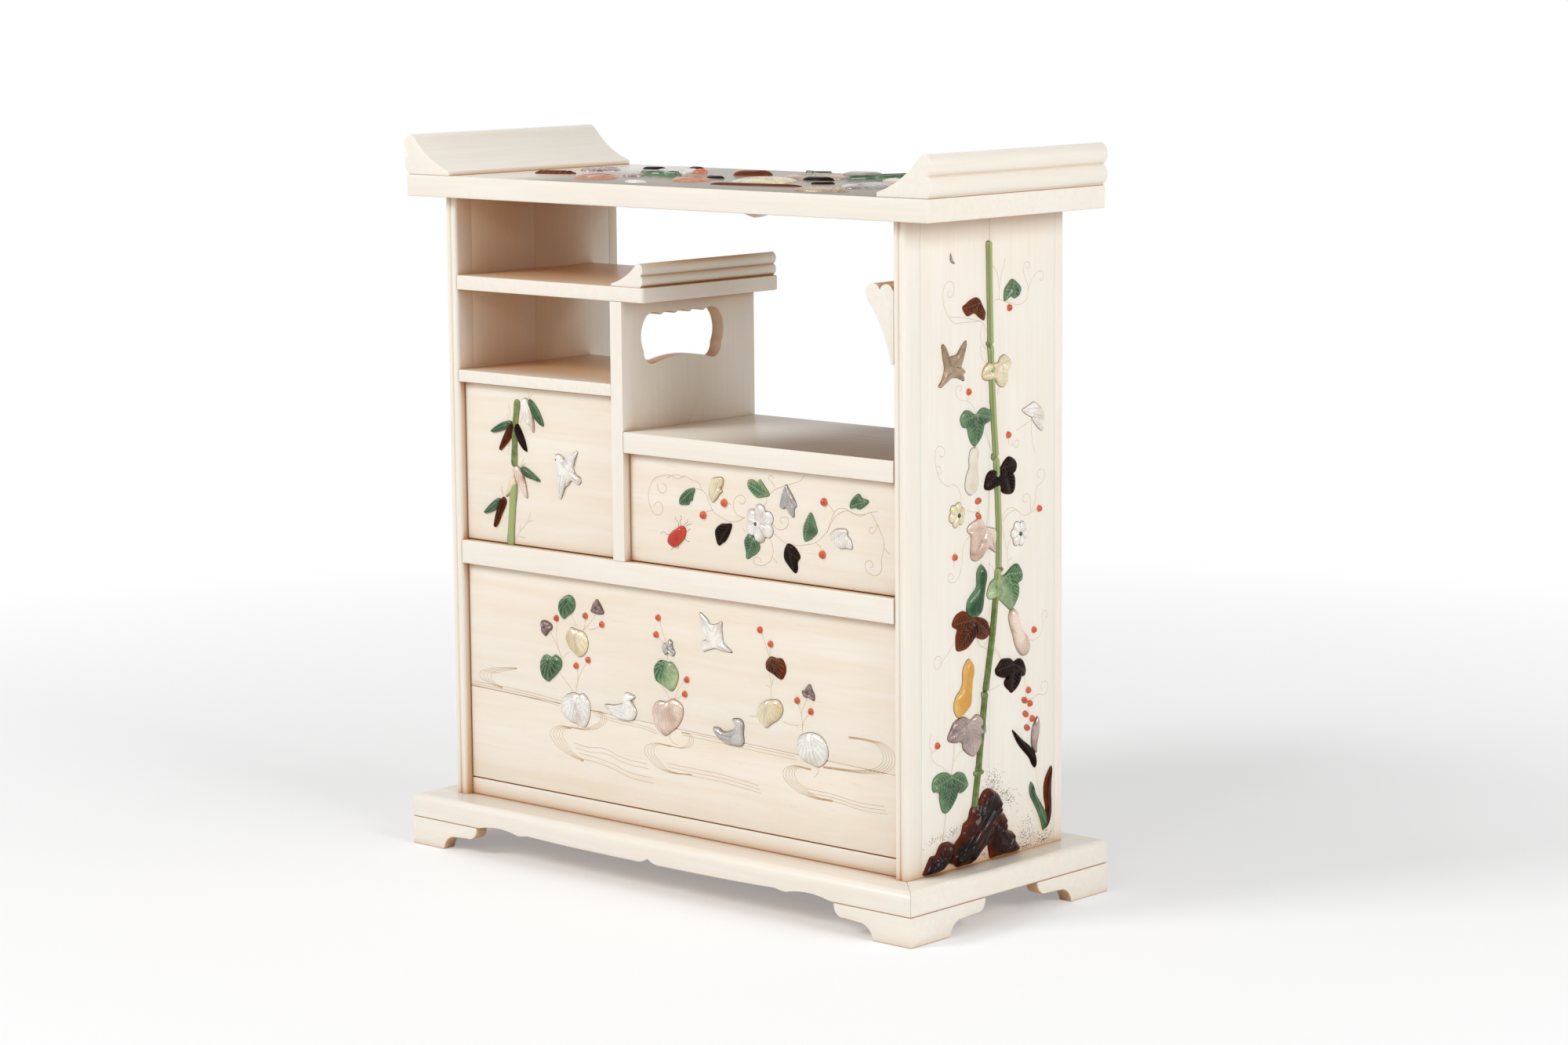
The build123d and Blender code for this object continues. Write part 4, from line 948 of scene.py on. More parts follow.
bambooLeaves = {
    "bamboo1": ("greenStone", [(27.6, 44), (28.4, 40.6), (30.6, 38), (33.3, 36.5), (33.4, 37.8), (31.8, 40.8),
                               (29.6, 43.2)],
                [(28.4, 42.8), (32.6, 37.6)]),
    "bamboo2": ("whitePearl", [(24.2, 43.2), (24.4, 40.5), (25.8, 37.6), (27.5, 36.5), (28.4, 37.5),
                               (28.3, 41), (27.4, 43.6), (25.9, 44.3)],
                [(25.8, 43), (27.3, 38)]),
    "bamboo3": ("pinkPearl", [(27.8, 43.2), (28.2, 38), (28.6, 35), (29.4, 34.6), (29.5, 37),
                              (29.1, 41.5)], [(28.4, 41), (29, 36)]),
    "bamboo4": ("greenStone", [(20.3, 36.8), (18.5, 37), (15.3, 36.1), (12.6, 34.6), (11.3, 33.3),
                               (13.5, 33.4), (16.5, 34.2), (19, 35.2)],
                [(18.8, 36.1), (12.8, 34)]),
    "bamboo5": ("redHorn", [(21.4, 36.8), (19.4, 35.9), (17.4, 33.6), (15.8, 30.4), (15, 28), (17, 29.4),
                            (19.4, 31.6), (21.4, 34), (21.8, 35.8)],
                [(20.4, 35.4), (16, 29.8)]),
    "bamboo6": ("darkHorn", [(22.2, 36.6), (21.5, 34.4), (22.8, 31.6), (24.5, 29.6), (26.4, 28.5), (26, 30.8),
                             (25, 33.2), (23.5, 35.6)],
                [(22.6, 35), (25.6, 29.8)]),
    "bamboo7": ("greenStone", [(23.8, 23.4), (24.9, 21.4), (27.4, 20.6), (31.8, 20.1), (29.4, 21.9),
                               (26.8, 23.3), (24.8, 23.9)],
                [(24.8, 22.9), (30.4, 20.6)]),
    "bamboo8": ("pinkPearl",
                [(20.6, 22.8), (21.4, 20.6), (23.2, 17.6), (25.5, 14.9), (26.4, 15.1), (25.7, 18.6),
                 (24.7, 21.6), (23.2, 23.4), (21.8, 23.9)],
                [(22, 22.6), (25.6, 16.2)]),
    "bamboo9": ("yellowPearl",
                [(20.9, 21.6), (19.2, 19.4), (18.2, 16.8), (17.1, 14.3), (19.2, 15.7), (20.9, 17.7),
                 (21.9, 18.6), (21.6, 20.4)],
                [(20.8, 20), (18.2, 15.8)]),
    "bamboo10": ("greenStone", [(14.6, 13.5), (12.6, 13), (10.3, 11.4), (7.8, 8.7), (10.2, 9), (12.8, 10.1),
                                (14.1, 11.8)],
                 [(13.4, 12.2), (9, 9.4)]),
    "bamboo11": ("redHorn", [(16.2, 14.1), (14.8, 13), (13.2, 10), (12.4, 7), (12.1, 4.7), (13.6, 5.8),
                             (15, 8.4), (16.8, 11.4), (17.3, 13)],
                 [(16, 12.6), (12.8, 6)])}
leftPieces = [carve("bambooStem1", "left", strip([(20.9, 24.2), (21.2, 30), (21.6, 36), (22.2, 40),
                                                  (22.6, 43.2)], 2.1),
                    [(20.95, 25.2), (21.2, 30), (21.6, 36), (22.2, 40), (22.5, 42.2)],
                    "stemGreen", height=0.75, segments=100,
                    rings=8),
              carve("bambooStem2", "left", strip([(18.8, 0.2), (19.2, 5), (19.9, 12), (20.6, 18.2)], 2.7),
                    [(18.9, 1.4), (19.2, 5), (19.9, 12), (20.5, 17)],
                    "stemGreen", height=0.7, segments=80, rings=8,
                    toneFrom=[(17, 0), (20, 0.5)])]
for name, (finishName, outline, midrib) in bambooLeaves.items():
    leftPieces.append(carve(name,
                            "left", outline, midrib, finishName, height=1.0, veins=[midrib], veinDepth=0.14,
                            veinWidth=0.22, segments=60, rings=10))
leftPieces.append(carve("birdWhite", "left",
                        [(38.3, 28.3), (38.4, 26.8), (39.2, 25), (39.6, 23.4), (39, 21.3), (39.2, 18.5),
                         (40, 15.3), (41.2, 17.2), (42.1, 19), (43.4, 19.9), (44.7, 21.3), (46.3, 20.9),
                         (47.8, 20.4), (49, 21.6), (48.8, 22.4), (47.6, 22.9), (46.2, 24), (45.9, 26),
                         (46.6, 28), (47.6, 30.2), (45.6, 29.4), (43.6, 28.2), (42.2, 27.4), (41.2, 28.3),
                         (39.8, 28.8)],
                        [(40.2, 27.2), (42.4, 24.4), (46.4, 22.4)],
                        "whitePearl", height=1.0, segments=120, rings=14,
                        veins=[[(41.6, 26.4), (43.4, 25.2), (47, 23.4)], [(43, 27), (46.6, 29)],
                               [(44, 26), (46.8, 28)], [(41.2, 23), (40.2, 17.4)], [(42.4, 22.4),
                             (41.2, 18.2)], [(43.4, 22.2), (42.4, 19.6)], [(45.4, 22.4), (48.4, 21.4)],
                               [(39.4, 22.6), (42, 22.4)]], veinDepth=0.12))
leftPieces += berries("left", [(39.2, 27.2)], 0.3, "darkHorn")
leftPieces[-1].location = (0, -0.0008, 0)
makeActive(leftPieces[-1])
bpy.ops.object.transform_apply(location=True, rotation=True, scale=True)
gather(leftPieces, "leftInlay", "left", "left_drawer_inlay")


# right drawer: flowering vine, berries and a ladybird

vineDrawer = {
    "r1": ("greenStone",
           [(20, 18.5), (21.7, 18.4), (23.6, 18.7), (24, 19.7), (25, 20), (25.3, 21.3), (26, 23.4),
            (23.3, 22.9), (21.7, 22), (20.2, 20.4)],
           [[(25.4, 22.9), (20.8, 19.2)]]),
    "r2": ("yellowPearl",
           [(32.7, 20.1), (34.3, 21), (35.7, 22.7), (36.8, 23.6), (36.1, 24.4), (37.1, 25.7), (37, 27.3),
            (35.3, 27.4), (33, 26.8), (31.8, 24.7), (31.6, 22)], [[(36.5, 26.8), (32.8, 20.8)]]),
    "r3": ("paleGreenStone",
           [(46.5, 27.3), (46.6, 25.7), (48, 24.2), (50, 23), (52.7, 23.4), (54.7, 24.1), (53.3, 26),
            (51.8, 27.6), (51, 28.1), (50.3, 27.1), (48.3, 27.8)], [[(53.9, 24.2), (47.3, 26.6)]]),
    "r4": ("greyPearl",
           [(61, 27.5), (60, 26), (59, 23.3), (58.6, 21.2), (59.7, 20.7), (61.3, 21), (62.7, 19),
            (63.9, 18.7), (64.1, 21), (64.9, 22.1), (63.4, 24.7), (62.3, 26.1)], [[(61.1, 26.8),
                    (63.4, 19.6)], [(61.1, 26), (59.4, 21.4)], [(61.5, 25), (64.3, 22.1)]]),
    "r5": ("greenStone", [(67.7, 12.5), (69.7, 12.9), (71.3, 14), (72.5, 15.3), (72.2, 16.7), (71.3, 19),
                          (70.1, 20.5), (68.7, 18.8), (67.4, 16)],
           [[(70, 19.4), (68.4, 13.4)]]),
    "r6": ("greenStone", [(84.6, 23.1), (86.3, 23.4), (88, 23.1), (90, 24.2), (91.4, 25.6), (89, 26.2),
                          (88, 27.2), (86.7, 26.8), (84.9, 25)],
           [[(90.6, 25.4), (85.4, 23.8)]]),
    "r7": ("darkHorn",
           [(33.9, 12.3), (34.3, 9.3), (35.2, 8), (36.7, 8.9), (37.4, 9.2), (38.4, 10.3), (39.6, 12.3),
            (40.2, 14.5), (38, 14.4), (36, 14.1)],
           [[(39.6, 14), (35.6, 8.8)]]),
    "r8": ("greenStone",
           [(45.2, 9.3), (45.8, 7), (45.9, 5.2), (48, 6.2), (49.7, 7.2), (50.9, 8.7), (50.4, 10.3),
            (48, 12.1), (46.3, 12.1), (45.2, 10.7)],
           [[(49, 11.6), (46.4, 6)]]),
    "r9": ("darkHorn", [(61.3, 10.9), (60.2, 9), (60.2, 6.7), (61.7, 4.9), (64.1, 3), (65.1, 4.2),
                        (65.1, 6.2), (66.1, 7.7), (64.8, 9.7), (63, 10.8)],
           [[(61.8, 10.4), (63.9, 4)], [(62.4, 8.8), (65.4, 7.5)]]),
    "r10": ("whitePearl",
            [(77, 14.5), (78.7, 12.9), (80.7, 11.6), (83.3, 11.8), (85.4, 11.9), (84.8, 14.3), (83.8, 15.3),
             (83.4, 16.9), (81, 17), (78.7, 16.4)],
            [[(83, 16.3), (78.4, 13.6)]])}
rightPieces = []
for name, (finishName, outline, veins) in vineDrawer.items():
    centre = np.mean(np.array(outline), axis=0).tolist()
    rightPieces.append(carve(name,
                             "right", outline, [centre], finishName, height=1.0, veins=veins, hatch=0.07,
                             pitch=0.95, slant=0.8, lobeDip=0.12, lobeWidth=0.9, fullness=4.0, segments=80,
                             rings=14,
                             veinWidth=0.22))
rightPieces.append(carve("drawerBloom", "right", star((51, 15.7), 5.5, 6, 29, 0.78), [(51, 15.7)],
                         "whitePearl",
                         height=1.1, segments=120, rings=18,
                         veins=rays((51, 15.7), 5.2, 6, 59) + rays((51, 15.7), 3.2, 18, 29, 0.3),
                         veinDepth=0.16,
                         veinWidth=0.2))
rightPieces.append(carve("bloomHeart3", "right", star((50.1, 15.6), 0.8, 4, 0, 0.85), [(50.1, 15.6)],
                         "greenStone",
                         height=1.35, segments=16, rings=4))
rightPieces += berries("right", [(37.4, 20.3), (29.2, 16.1), (75.1, 23.9), (74.4, 9.2)], 1.2)
rightPieces.append(carve("ladybird", "right",
                         [(15.6, 6.7), (17.4, 5.8), (19.4, 6.7), (21.8, 9), (22.3, 11.3), (20.8, 12.2),
                          (18.7, 11.3), (16.3, 9.7), (15.4, 8)],
                         [(17.6, 8), (20.6, 10.8)],
                         "beetleRed", height=1.6, fullness=2.2, segments=64, rings=12,
                         veins=[[(20.3, 8.6), (18.9, 11)], [(16, 6.6), (19.8, 10)]], veinDepth=0.12,
                         veinWidth=0.16))
gather(rightPieces, "rightInlay", "right", "right_drawer_inlay")


# wide drawer: water plants, ducks and a bird

pondPlants = {
    "w1": ("greenStone",
           [(38.7, 56.9), (38.8, 55.1), (40.5, 53), (42.4, 54.1), (44.4, 55.4), (45.5, 57.2), (45.1, 59.3),
            (43.2, 60.3), (41.2, 59.6), (39.4, 58.4)],
           [[(43.4, 59.6), (43.2, 57.8), (41.6, 56.6), (40.8, 54)]], 9),
    "w2": ("budHorn", [(52.2, 56.3), (54.7, 55.9), (57.3, 56.3), (56.9, 57.6), (55.7, 59.3), (54.6, 60.2),
                       (53.4, 59.3), (52.5, 57.6)],
           fromStalk((54.6, 57.6), [(53, 56.4), (56.6, 56.6), (54.6, 59.8)]), 0),
    "w3": ("budHorn", [(31.1, 51.1), (31.3, 49.2), (31.5, 48), (32.9, 47), (34.5, 48.6), (35.8, 49.6),
                       (35.4, 50.8), (32.9, 51.6)],
           fromStalk((32.8, 49.6), [(31.6, 50.9), (35.2, 50.2), (32.6, 47.6)]), 0),
    "w4": ("yellowPearl",
           [(41.6, 47.2), (42.9, 44.8), (45, 43.1), (47.1, 42.3), (49.5, 43.6), (50.7, 46), (50.4, 48.1),
            (48.8, 49.9), (45.9, 50.3), (43.8, 50.7), (42.1, 48.9)], [[(46.6, 50), (46.2, 47.4),
                                                                       (47, 44.8), (46.8, 43)]], 12),
    "w5": ("greenStone",
           [(30.5, 37.8), (31.2, 34.8), (33.5, 33.4), (35.3, 34.4), (37.6, 36.3), (39.4, 38.4), (39.4, 40.5),
            (37.1, 41.7), (35.3, 40.9), (32.9, 41.3), (31.2, 40.1)], [[(35.4, 40.6), (35.2, 38.6),
                                                                       (33.6, 34.4)]], 12),
    "w6": ("whitePearl",
           [(39.2, 27.8), (39.5, 24.8), (42.4, 22.7), (45.9, 22.1), (48.8, 21.5), (50.4, 23.6), (51.2, 26.6),
            (50.7, 29.5), (48.5, 31.4), (46.5, 31), (44.1, 31.3), (41.2, 30.1)], [[(46.6, 30.8),
                    (46, 27.4), (48.2, 22.4)]], 16),
    "w7": ("paleGreenStone",
           [(77.5, 42.4), (78.2, 39.2), (80.7, 38), (84.6, 36.7), (86.8, 39.6), (87.1, 42.4), (85, 44.9),
            (82.9, 45), (80.4, 45.2), (78.6, 44.2)],
           [[(82.6, 44.8), (82.4, 42.4), (84.4, 37.8)]], 12),
    "w8": ("greyPearl",
           [(81, 48.5), (82, 47), (83.6, 47.8), (85, 46.9), (86, 48.1), (85, 49.6), (84.9, 51.1),
            (83.9, 51.6), (82.7, 50.7), (81.3, 49.9)],
           fromStalk((83.4, 49), [(82, 47.8), (85.2, 47.8), (83.8, 51)]), 0),
    "w9": ("pinkPearl",
           [(76.7, 28.9), (77.9, 25.5), (81.4, 23.3), (84.3, 24.8), (87.1, 27), (88.9, 30.3), (88.3, 33.2),
            (85, 34.4), (82.1, 33.2), (79.3, 33.2), (77.1, 31.4)], [[(82, 33), (79.4, 29.4),
                    (80.6, 24.6)], [(83.4, 33.2), (84, 31), (86, 32.4)]], 14),
    "w10": ("redHorn",
            [(121.5, 49.6), (121.7, 47.4), (124.3, 46.3), (127.1, 45.2), (128.7, 47.1), (128.8, 49.2),
             (127.5, 51), (125.4, 51), (123.2, 51.2)],
            [[(125, 50.8), (124.8, 49), (127, 45.8)]], 14),
    "w11": ("yellowPearl",
            [(117.9, 33.5), (120.7, 30.7), (123.6, 32.2), (126.4, 34.1), (127.7, 36.7), (126.1, 39),
             (123.2, 38.9), (120.7, 38.1), (118.5, 36.4)],
            [[(122.8, 38.8), (122.2, 36.4), (120.8, 31.6)]], 14),
    "w12": ("whitePearl",
            [(132.8, 26.7), (134.3, 23.8), (137.9, 22.5), (141.1, 22.1), (143.7, 23.9), (144.5, 26.7),
             (143, 30), (140, 31.4), (136.4, 31.1), (133.8, 29.7)], [[(138.2, 31), (139.6, 27),
                                                                      (141, 22.8)]], 16),
    "w13": ("budHorn",
            [(134.9, 42.8), (135.7, 41.3), (137.5, 41.3), (139.3, 40.6), (139.6, 42.1), (138.6, 43.9),
             (137.9, 45.1), (136.7, 44.3), (136, 43.1)],
            fromStalk((137.4, 42.6), [(135.6, 42.2), (139.2, 41.4), (137.8, 44.6)]), 0)}
pondTones = {"w7": [(80, 42), (87, 40)], "w4": [(47.6, 47), (42, 44)], "w11": [(121, 37), (128, 36)]}
widePieces = []
for name, (finishName, outline, grooves, ribs) in pondPlants.items():
    centre = np.mean(np.array(outline), axis=0)
    stalk = np.array(grooves[0][0])
    rim = roundOutline(outline, ribs) if ribs else []
    lines = [[(stalk + 0.25 * (spot - stalk)).tolist(),
              (stalk + 0.9 * (spot - stalk)).tolist()] for spot in rim]
    widePieces.append(carve(name, "wide", outline, [centre.tolist()], finishName, height=1.5 if ribs else 1.2,
                            veins=lines, veinDepth=0.07, veinWidth=0.2, fullness=2.4, grooves=grooves,
                            segments=88,
                            rings=16, toneFrom=pondTones.get(name)))
widePieces.append(carve("duckWhite", "wide",
                        [(57.2, 29.3), (59.5, 27.6), (61.8, 26.2), (64.5, 25.7), (68, 25.9), (69.8, 27.3),
                         (70.1, 29.2), (69, 30.8), (67.9, 31.9), (68.6, 32.2), (69.8, 33.2), (68.3, 33.6),
                         (66.8, 34), (65.3, 33.4), (64.9, 32), (65, 30.6), (63.5, 30.3),
                         (61.5, 29.7)], [(60.5, 28.8), (64.5, 28), (67.6, 28.8), (66.8, 32.6)],
                        "whitePearl", height=1.2,
                        segments=110, rings=12,
                        veins=[[(59, 28.6), (64, 28.6), (67, 27.4)], [(60, 27.8), (65, 27.2)],
                               [(61, 29), (65.6, 29.8)]], veinDepth=0.12,
                        veinWidth=0.2))
widePieces.append(carve("duckGrey", "wide",
                        [(100.7, 28), (102.5, 25.9), (104.5, 24.5), (108, 24), (111.5, 24.1), (112.7, 25.6),
                         (112.4, 28), (112.7, 30.2), (111.9, 31.6), (110.3, 31.9), (108.1, 31.4),
                         (109.3, 30.5), (109.4, 29), (107.5, 28), (105, 27.4), (103, 28.3)],
                        [(103.4, 26.8), (107, 26.2), (110.8, 27), (111, 30.6)],
                        "greyPearl", height=1.2, segments=110,
                        rings=12,
                        veins=[[(102, 27.2), (106, 26.4), (110, 27)], [(103, 26), (107, 25.4), (110.6, 26)],
                               [(104, 25.4), (109, 24.8)]],
                        veinDepth=0.12, veinWidth=0.2))
widePieces.append(carve("birdPond", "wide",
                        [(97, 49.7), (98.5, 50.2), (100.5, 50.8), (102, 51.1), (104.5, 50.8), (108.4, 50.7),
                         (106, 52.4), (105, 53.3), (104.7, 55), (104.5, 57), (104.5, 59.1), (103, 58.4),
                         (101.5, 58), (99.9, 58), (98.6, 59.5), (95.9, 60.8), (96.1, 58.5), (97.2, 56.2),
                         (98.2, 54.4), (99.2, 53.3), (97.4, 52.9), (96.4, 51.6)],
                        [(98.4, 51.6), (101.2, 54), (103.6, 52.6)],
                        "whitePearl", height=0.9, segments=110, rings=12,
                        veins=[[(100, 55), (97, 59.6)], [(100.8, 56), (98.2, 58.6)],
                               [(102.6, 55), (104, 58.4)], [(101.4, 56), (102.2, 57.8)],
                               [(103, 52), (107, 51.2)]], veinDepth=0.1))
widePieces += berries("wide",
                      [(37.6, 52.8), (49.7, 54.8), (56.5, 53), (50.6, 41.8), (45.6, 39.5), (79.4, 57.5),
                       (78.5, 52.5), (90.5, 40.7), (89.7, 36.4), (119.2, 58.4), (123.2, 54.8),
                       (133.1, 39.9), (138.2, 37.4)], 1.0)
gather(widePieces, "wideInlay", "wide", "wide_drawer_inlay")
print("drawer fronts carved")


# engraved lines

def engrave(name, panelName, lines, width, finishName="engraved", closed=False):
    # lines cut by hand: thin filled grooves, almost flush with the panel
    deselectAll()
    bpy.ops.curve.primitive_bezier_curve_add()
    piece = bpy.context.object
    curve = piece.data
    curve.splines.clear()
    curve.dimensions = "3D"
    for line in lines:
        spline = curve.splines.new("BEZIER")
        spline.bezier_points.add(len(line) - 1)
        spline.use_cyclic_u = closed
        flat = np.column_stack([np.array(line, float), np.zeros(len(line))])
        for point, place in zip(spline.bezier_points, flat):
            point.co = place
            point.handle_left_type = point.handle_right_type = "AUTO"
    curve.resolution_u = 2 if closed else 5
    curve.bevel_depth = width / 2
    curve.bevel_resolution = 0
    curve.use_fill_caps = True
    bpy.ops.object.convert(target="MESH")
    piece = bpy.context.object
    mesh = piece.data
    flat = np.zeros(len(mesh.vertices) * 3)
    mesh.vertices.foreach_get("co", flat)
    flat = flat.reshape(-1, 3)
    flat[:, 2] = flat[:, 2] * 0.5 - width * 0.12
    mesh.vertices.foreach_set("co", onPanel(panelName, flat).ravel())
    mesh.update()
    piece.name = name
    return givePiece(piece, finishes[finishName], panels[panelName]["body"])


sideTendrils = [[(35.6, 195.8), (35.8, 192), (35.7, 188.4)],
    [(36.8, 182), (39.2, 179.4), (39.8, 175.6), (40.1, 172)], [(39.9, 175), (41, 179), (42.6, 183.2)],
                [(36.4, 171), (38.6, 172.2), (44, 171), (49, 170.2), (51.8, 171.4), (52.6, 174.6), (51, 178),
                 (50.6, 180.6), (52, 181.8), (53.4, 180.8), (52.6, 179.9), (51.9, 180.5)],
                [(52.4, 174), (54.8, 177.2), (57.6, 178.9), (59.4, 178), (58.6, 176.2), (57.4, 176.8)],
    [(34.6, 163.6), (32.4, 166.6), (29.4, 166.8), (24.6, 167), (20.6, 167.2), (17.4, 170.2), (15.9, 174.4),
     (17.2, 178), (19.6, 178.4), (20.6, 176), (19, 174.2), (17.8, 175.2), (18.6, 176)],
                [(32.6, 166.6), (28, 167.6), (22.4, 168.6), (18.6, 168.8)],
    [(34.6, 158.6), (32.4, 160.8), (32, 164), (33, 166.2)], [(35, 154.8), (32.6, 156.4), (31.8, 159.8)],
                [(38, 150), (39.6, 148.4), (39.2, 145.8)],
    [(30, 141.4), (28.6, 143.6), (26.4, 145.2), (23, 146), (21.2, 148.2), (22, 149.8), (23.8, 149.2),
     (23.2, 148.2)], [(26.4, 145.2), (26.6, 147)], [(33.4, 136), (35, 133.6), (36.8, 129.4)],
                [(34, 137), (35.6, 133), (36.6, 130.6)], [(44, 133.4), (44.2, 131.4)],
                [(45.2, 131), (47.4, 132.4), (48.8, 131.6), (47.4, 130.4), (45.8, 131.4)],
                [(31.4, 114.2), (28.6, 114.4), (25.6, 115.2)],
    [(23.6, 117.4), (23, 120.4), (21, 122.6), (17.4, 122.8), (14.4, 125), (12.8, 128.6), (12.4, 131.8),
     (13.4, 133.8), (15.6, 133.6), (16.6, 131.8), (15, 131), (14.4, 132)],
    [(12.8, 128.6), (14.8, 128), (14.6, 126.4), (13.6, 127)], [(35.4, 119.6), (35, 115), (34.4, 110)],
                [(35.8, 119.6), (35.6, 115), (34.8, 110)],
    [(40.6, 108.6), (42.2, 112.6), (45.2, 113.8), (48, 112.6), (50.6, 111), (53.8, 111.4), (56.6, 112.2)],
                [(41.2, 110), (44, 112.2), (47.6, 113)],
                [(54, 111.8), (56, 114.6), (56.4, 118), (59.4, 120), (60, 122.4), (58, 123.2), (56.8, 121.6),
     (58, 120.8)], [(53.6, 111.6), (53.8, 114.6), (52.6, 116.8), (50.6, 116.2), (51, 114.6), (52.2, 115)],
    [(40.8, 110.4), (42.2, 106), (43.2, 102), (44, 97.6)], [(43.4, 102), (44.4, 104.2), (45.6, 105)],
                [(44, 99), (45.8, 99.8)],
    [(28, 108), (25.2, 106.6), (24, 104), (23.8, 100), (21.6, 96.4), (19.2, 95.8), (17.8, 97.2), (18.8, 98.4),
     (20.2, 97.4), (19.2, 96.6)], [(20.6, 101.6), (20.2, 99.6)], [(35.2, 99.4), (37.4, 97.4), (38, 95)],
                [(32.2, 101), (31.8, 99.2)], [(37, 88.6), (36, 86.4), (35, 84.8)],
                [(35.2, 78.4), (33, 76.2), (31, 77), (30, 79.2)], [(35, 75), (32.4, 76.4), (30.2, 78.8)],
                [(37.4, 75), (39.4, 73.2), (41, 71.2)], [(37.6, 75.6), (39.8, 73.6), (40.6, 71.4)],
    [(20.6, 79.4), (18, 76.4), (16, 75), (13, 72.6), (11.9, 74.4), (13.2, 76.2), (15, 75), (14, 73.8)],
                [(53.4, 75.2), (56, 75.2), (58.6, 76.6), (59.4, 79.6), (59, 81.8), (60.4, 82.9), (61.4, 81.4),
                 (60.4, 80.6)], [(35.4, 63.4), (38, 63.8), (40, 64.4)],
    [(51, 65.4), (51.6, 62.4), (52, 59.2), (53.8, 58.2), (57.4, 59.2), (60.4, 58.8), (61.8, 61), (60.4, 62.6),
     (58.6, 61.4), (59.4, 60)], [(52.6, 58), (53.2, 53.4), (53.4, 49.6)],
                [(20.7, 50.6), (20.2, 46), (19.2, 42.4)], [(20.2, 50.8), (19.8, 46), (18.9, 42.4)],
                [(24.4, 48.4), (22.2, 47.6), (20.6, 45.8)],
                [(13, 50.4), (10.6, 49.2), (12.4, 46.4), (15.6, 44.8), (17.4, 42.8)],
                [(11, 49.6), (9.8, 52.2), (10.6, 55)], [(16.8, 31.8), (16.4, 28), (15.4, 24)],
                [(16.5, 31.8), (15.9, 28), (15.2, 24)], [(56.2, 38.6), (57, 34), (58.2, 30), (59.2, 26)],
                [(60.4, 19.8), (60.2, 17.4), (60.4, 15.8)], [(54.3, 137.6), (50.6, 136.2), (47.4, 135.2)],
                [(54.2, 137.6), (54.3, 133), (55.2, 129.8), (55.9, 128.2)], [(30.4, 117), (32, 112)]]
engrave("sideTendrils", "side", sideTendrils, 0.2)

leftTwigs = [[(20.9, 1.6), (22.8, 4.4), (24.6, 6), (26, 7.5), (27.4, 10.4)], [(26, 7.5), (28.2, 8.1)],
             [(22.8, 4.3), (22.9, 6.2)], [(22, 2.8), (24.8, 2.7)], [(27.4, 44), (27.4, 46.3)],
             [(27.6, 44), (28.8, 45.8)], [(19.4, 38.8), (18.9, 42.4)], [(18.8, 36.9), (18.2, 39)],
             [(23.6, 36.6), (24.8, 39)], [(19.6, 33), (18.8, 29.6)], [(18.6, 31), (18.4, 27)],
             [(23.4, 23.9), (25, 26.4)], [(23.8, 24), (25.6, 25)], [(16, 13.9), (15.2, 17.2)],
    [(15.8, 15), (14.6, 16.4)], [(21.6, 13.2), (22.4, 16), (23.6, 17.4)], [(38.2, 28.4), (37.6, 28.8)]]
engrave("leftTwigs", "left", leftTwigs, 0.22)

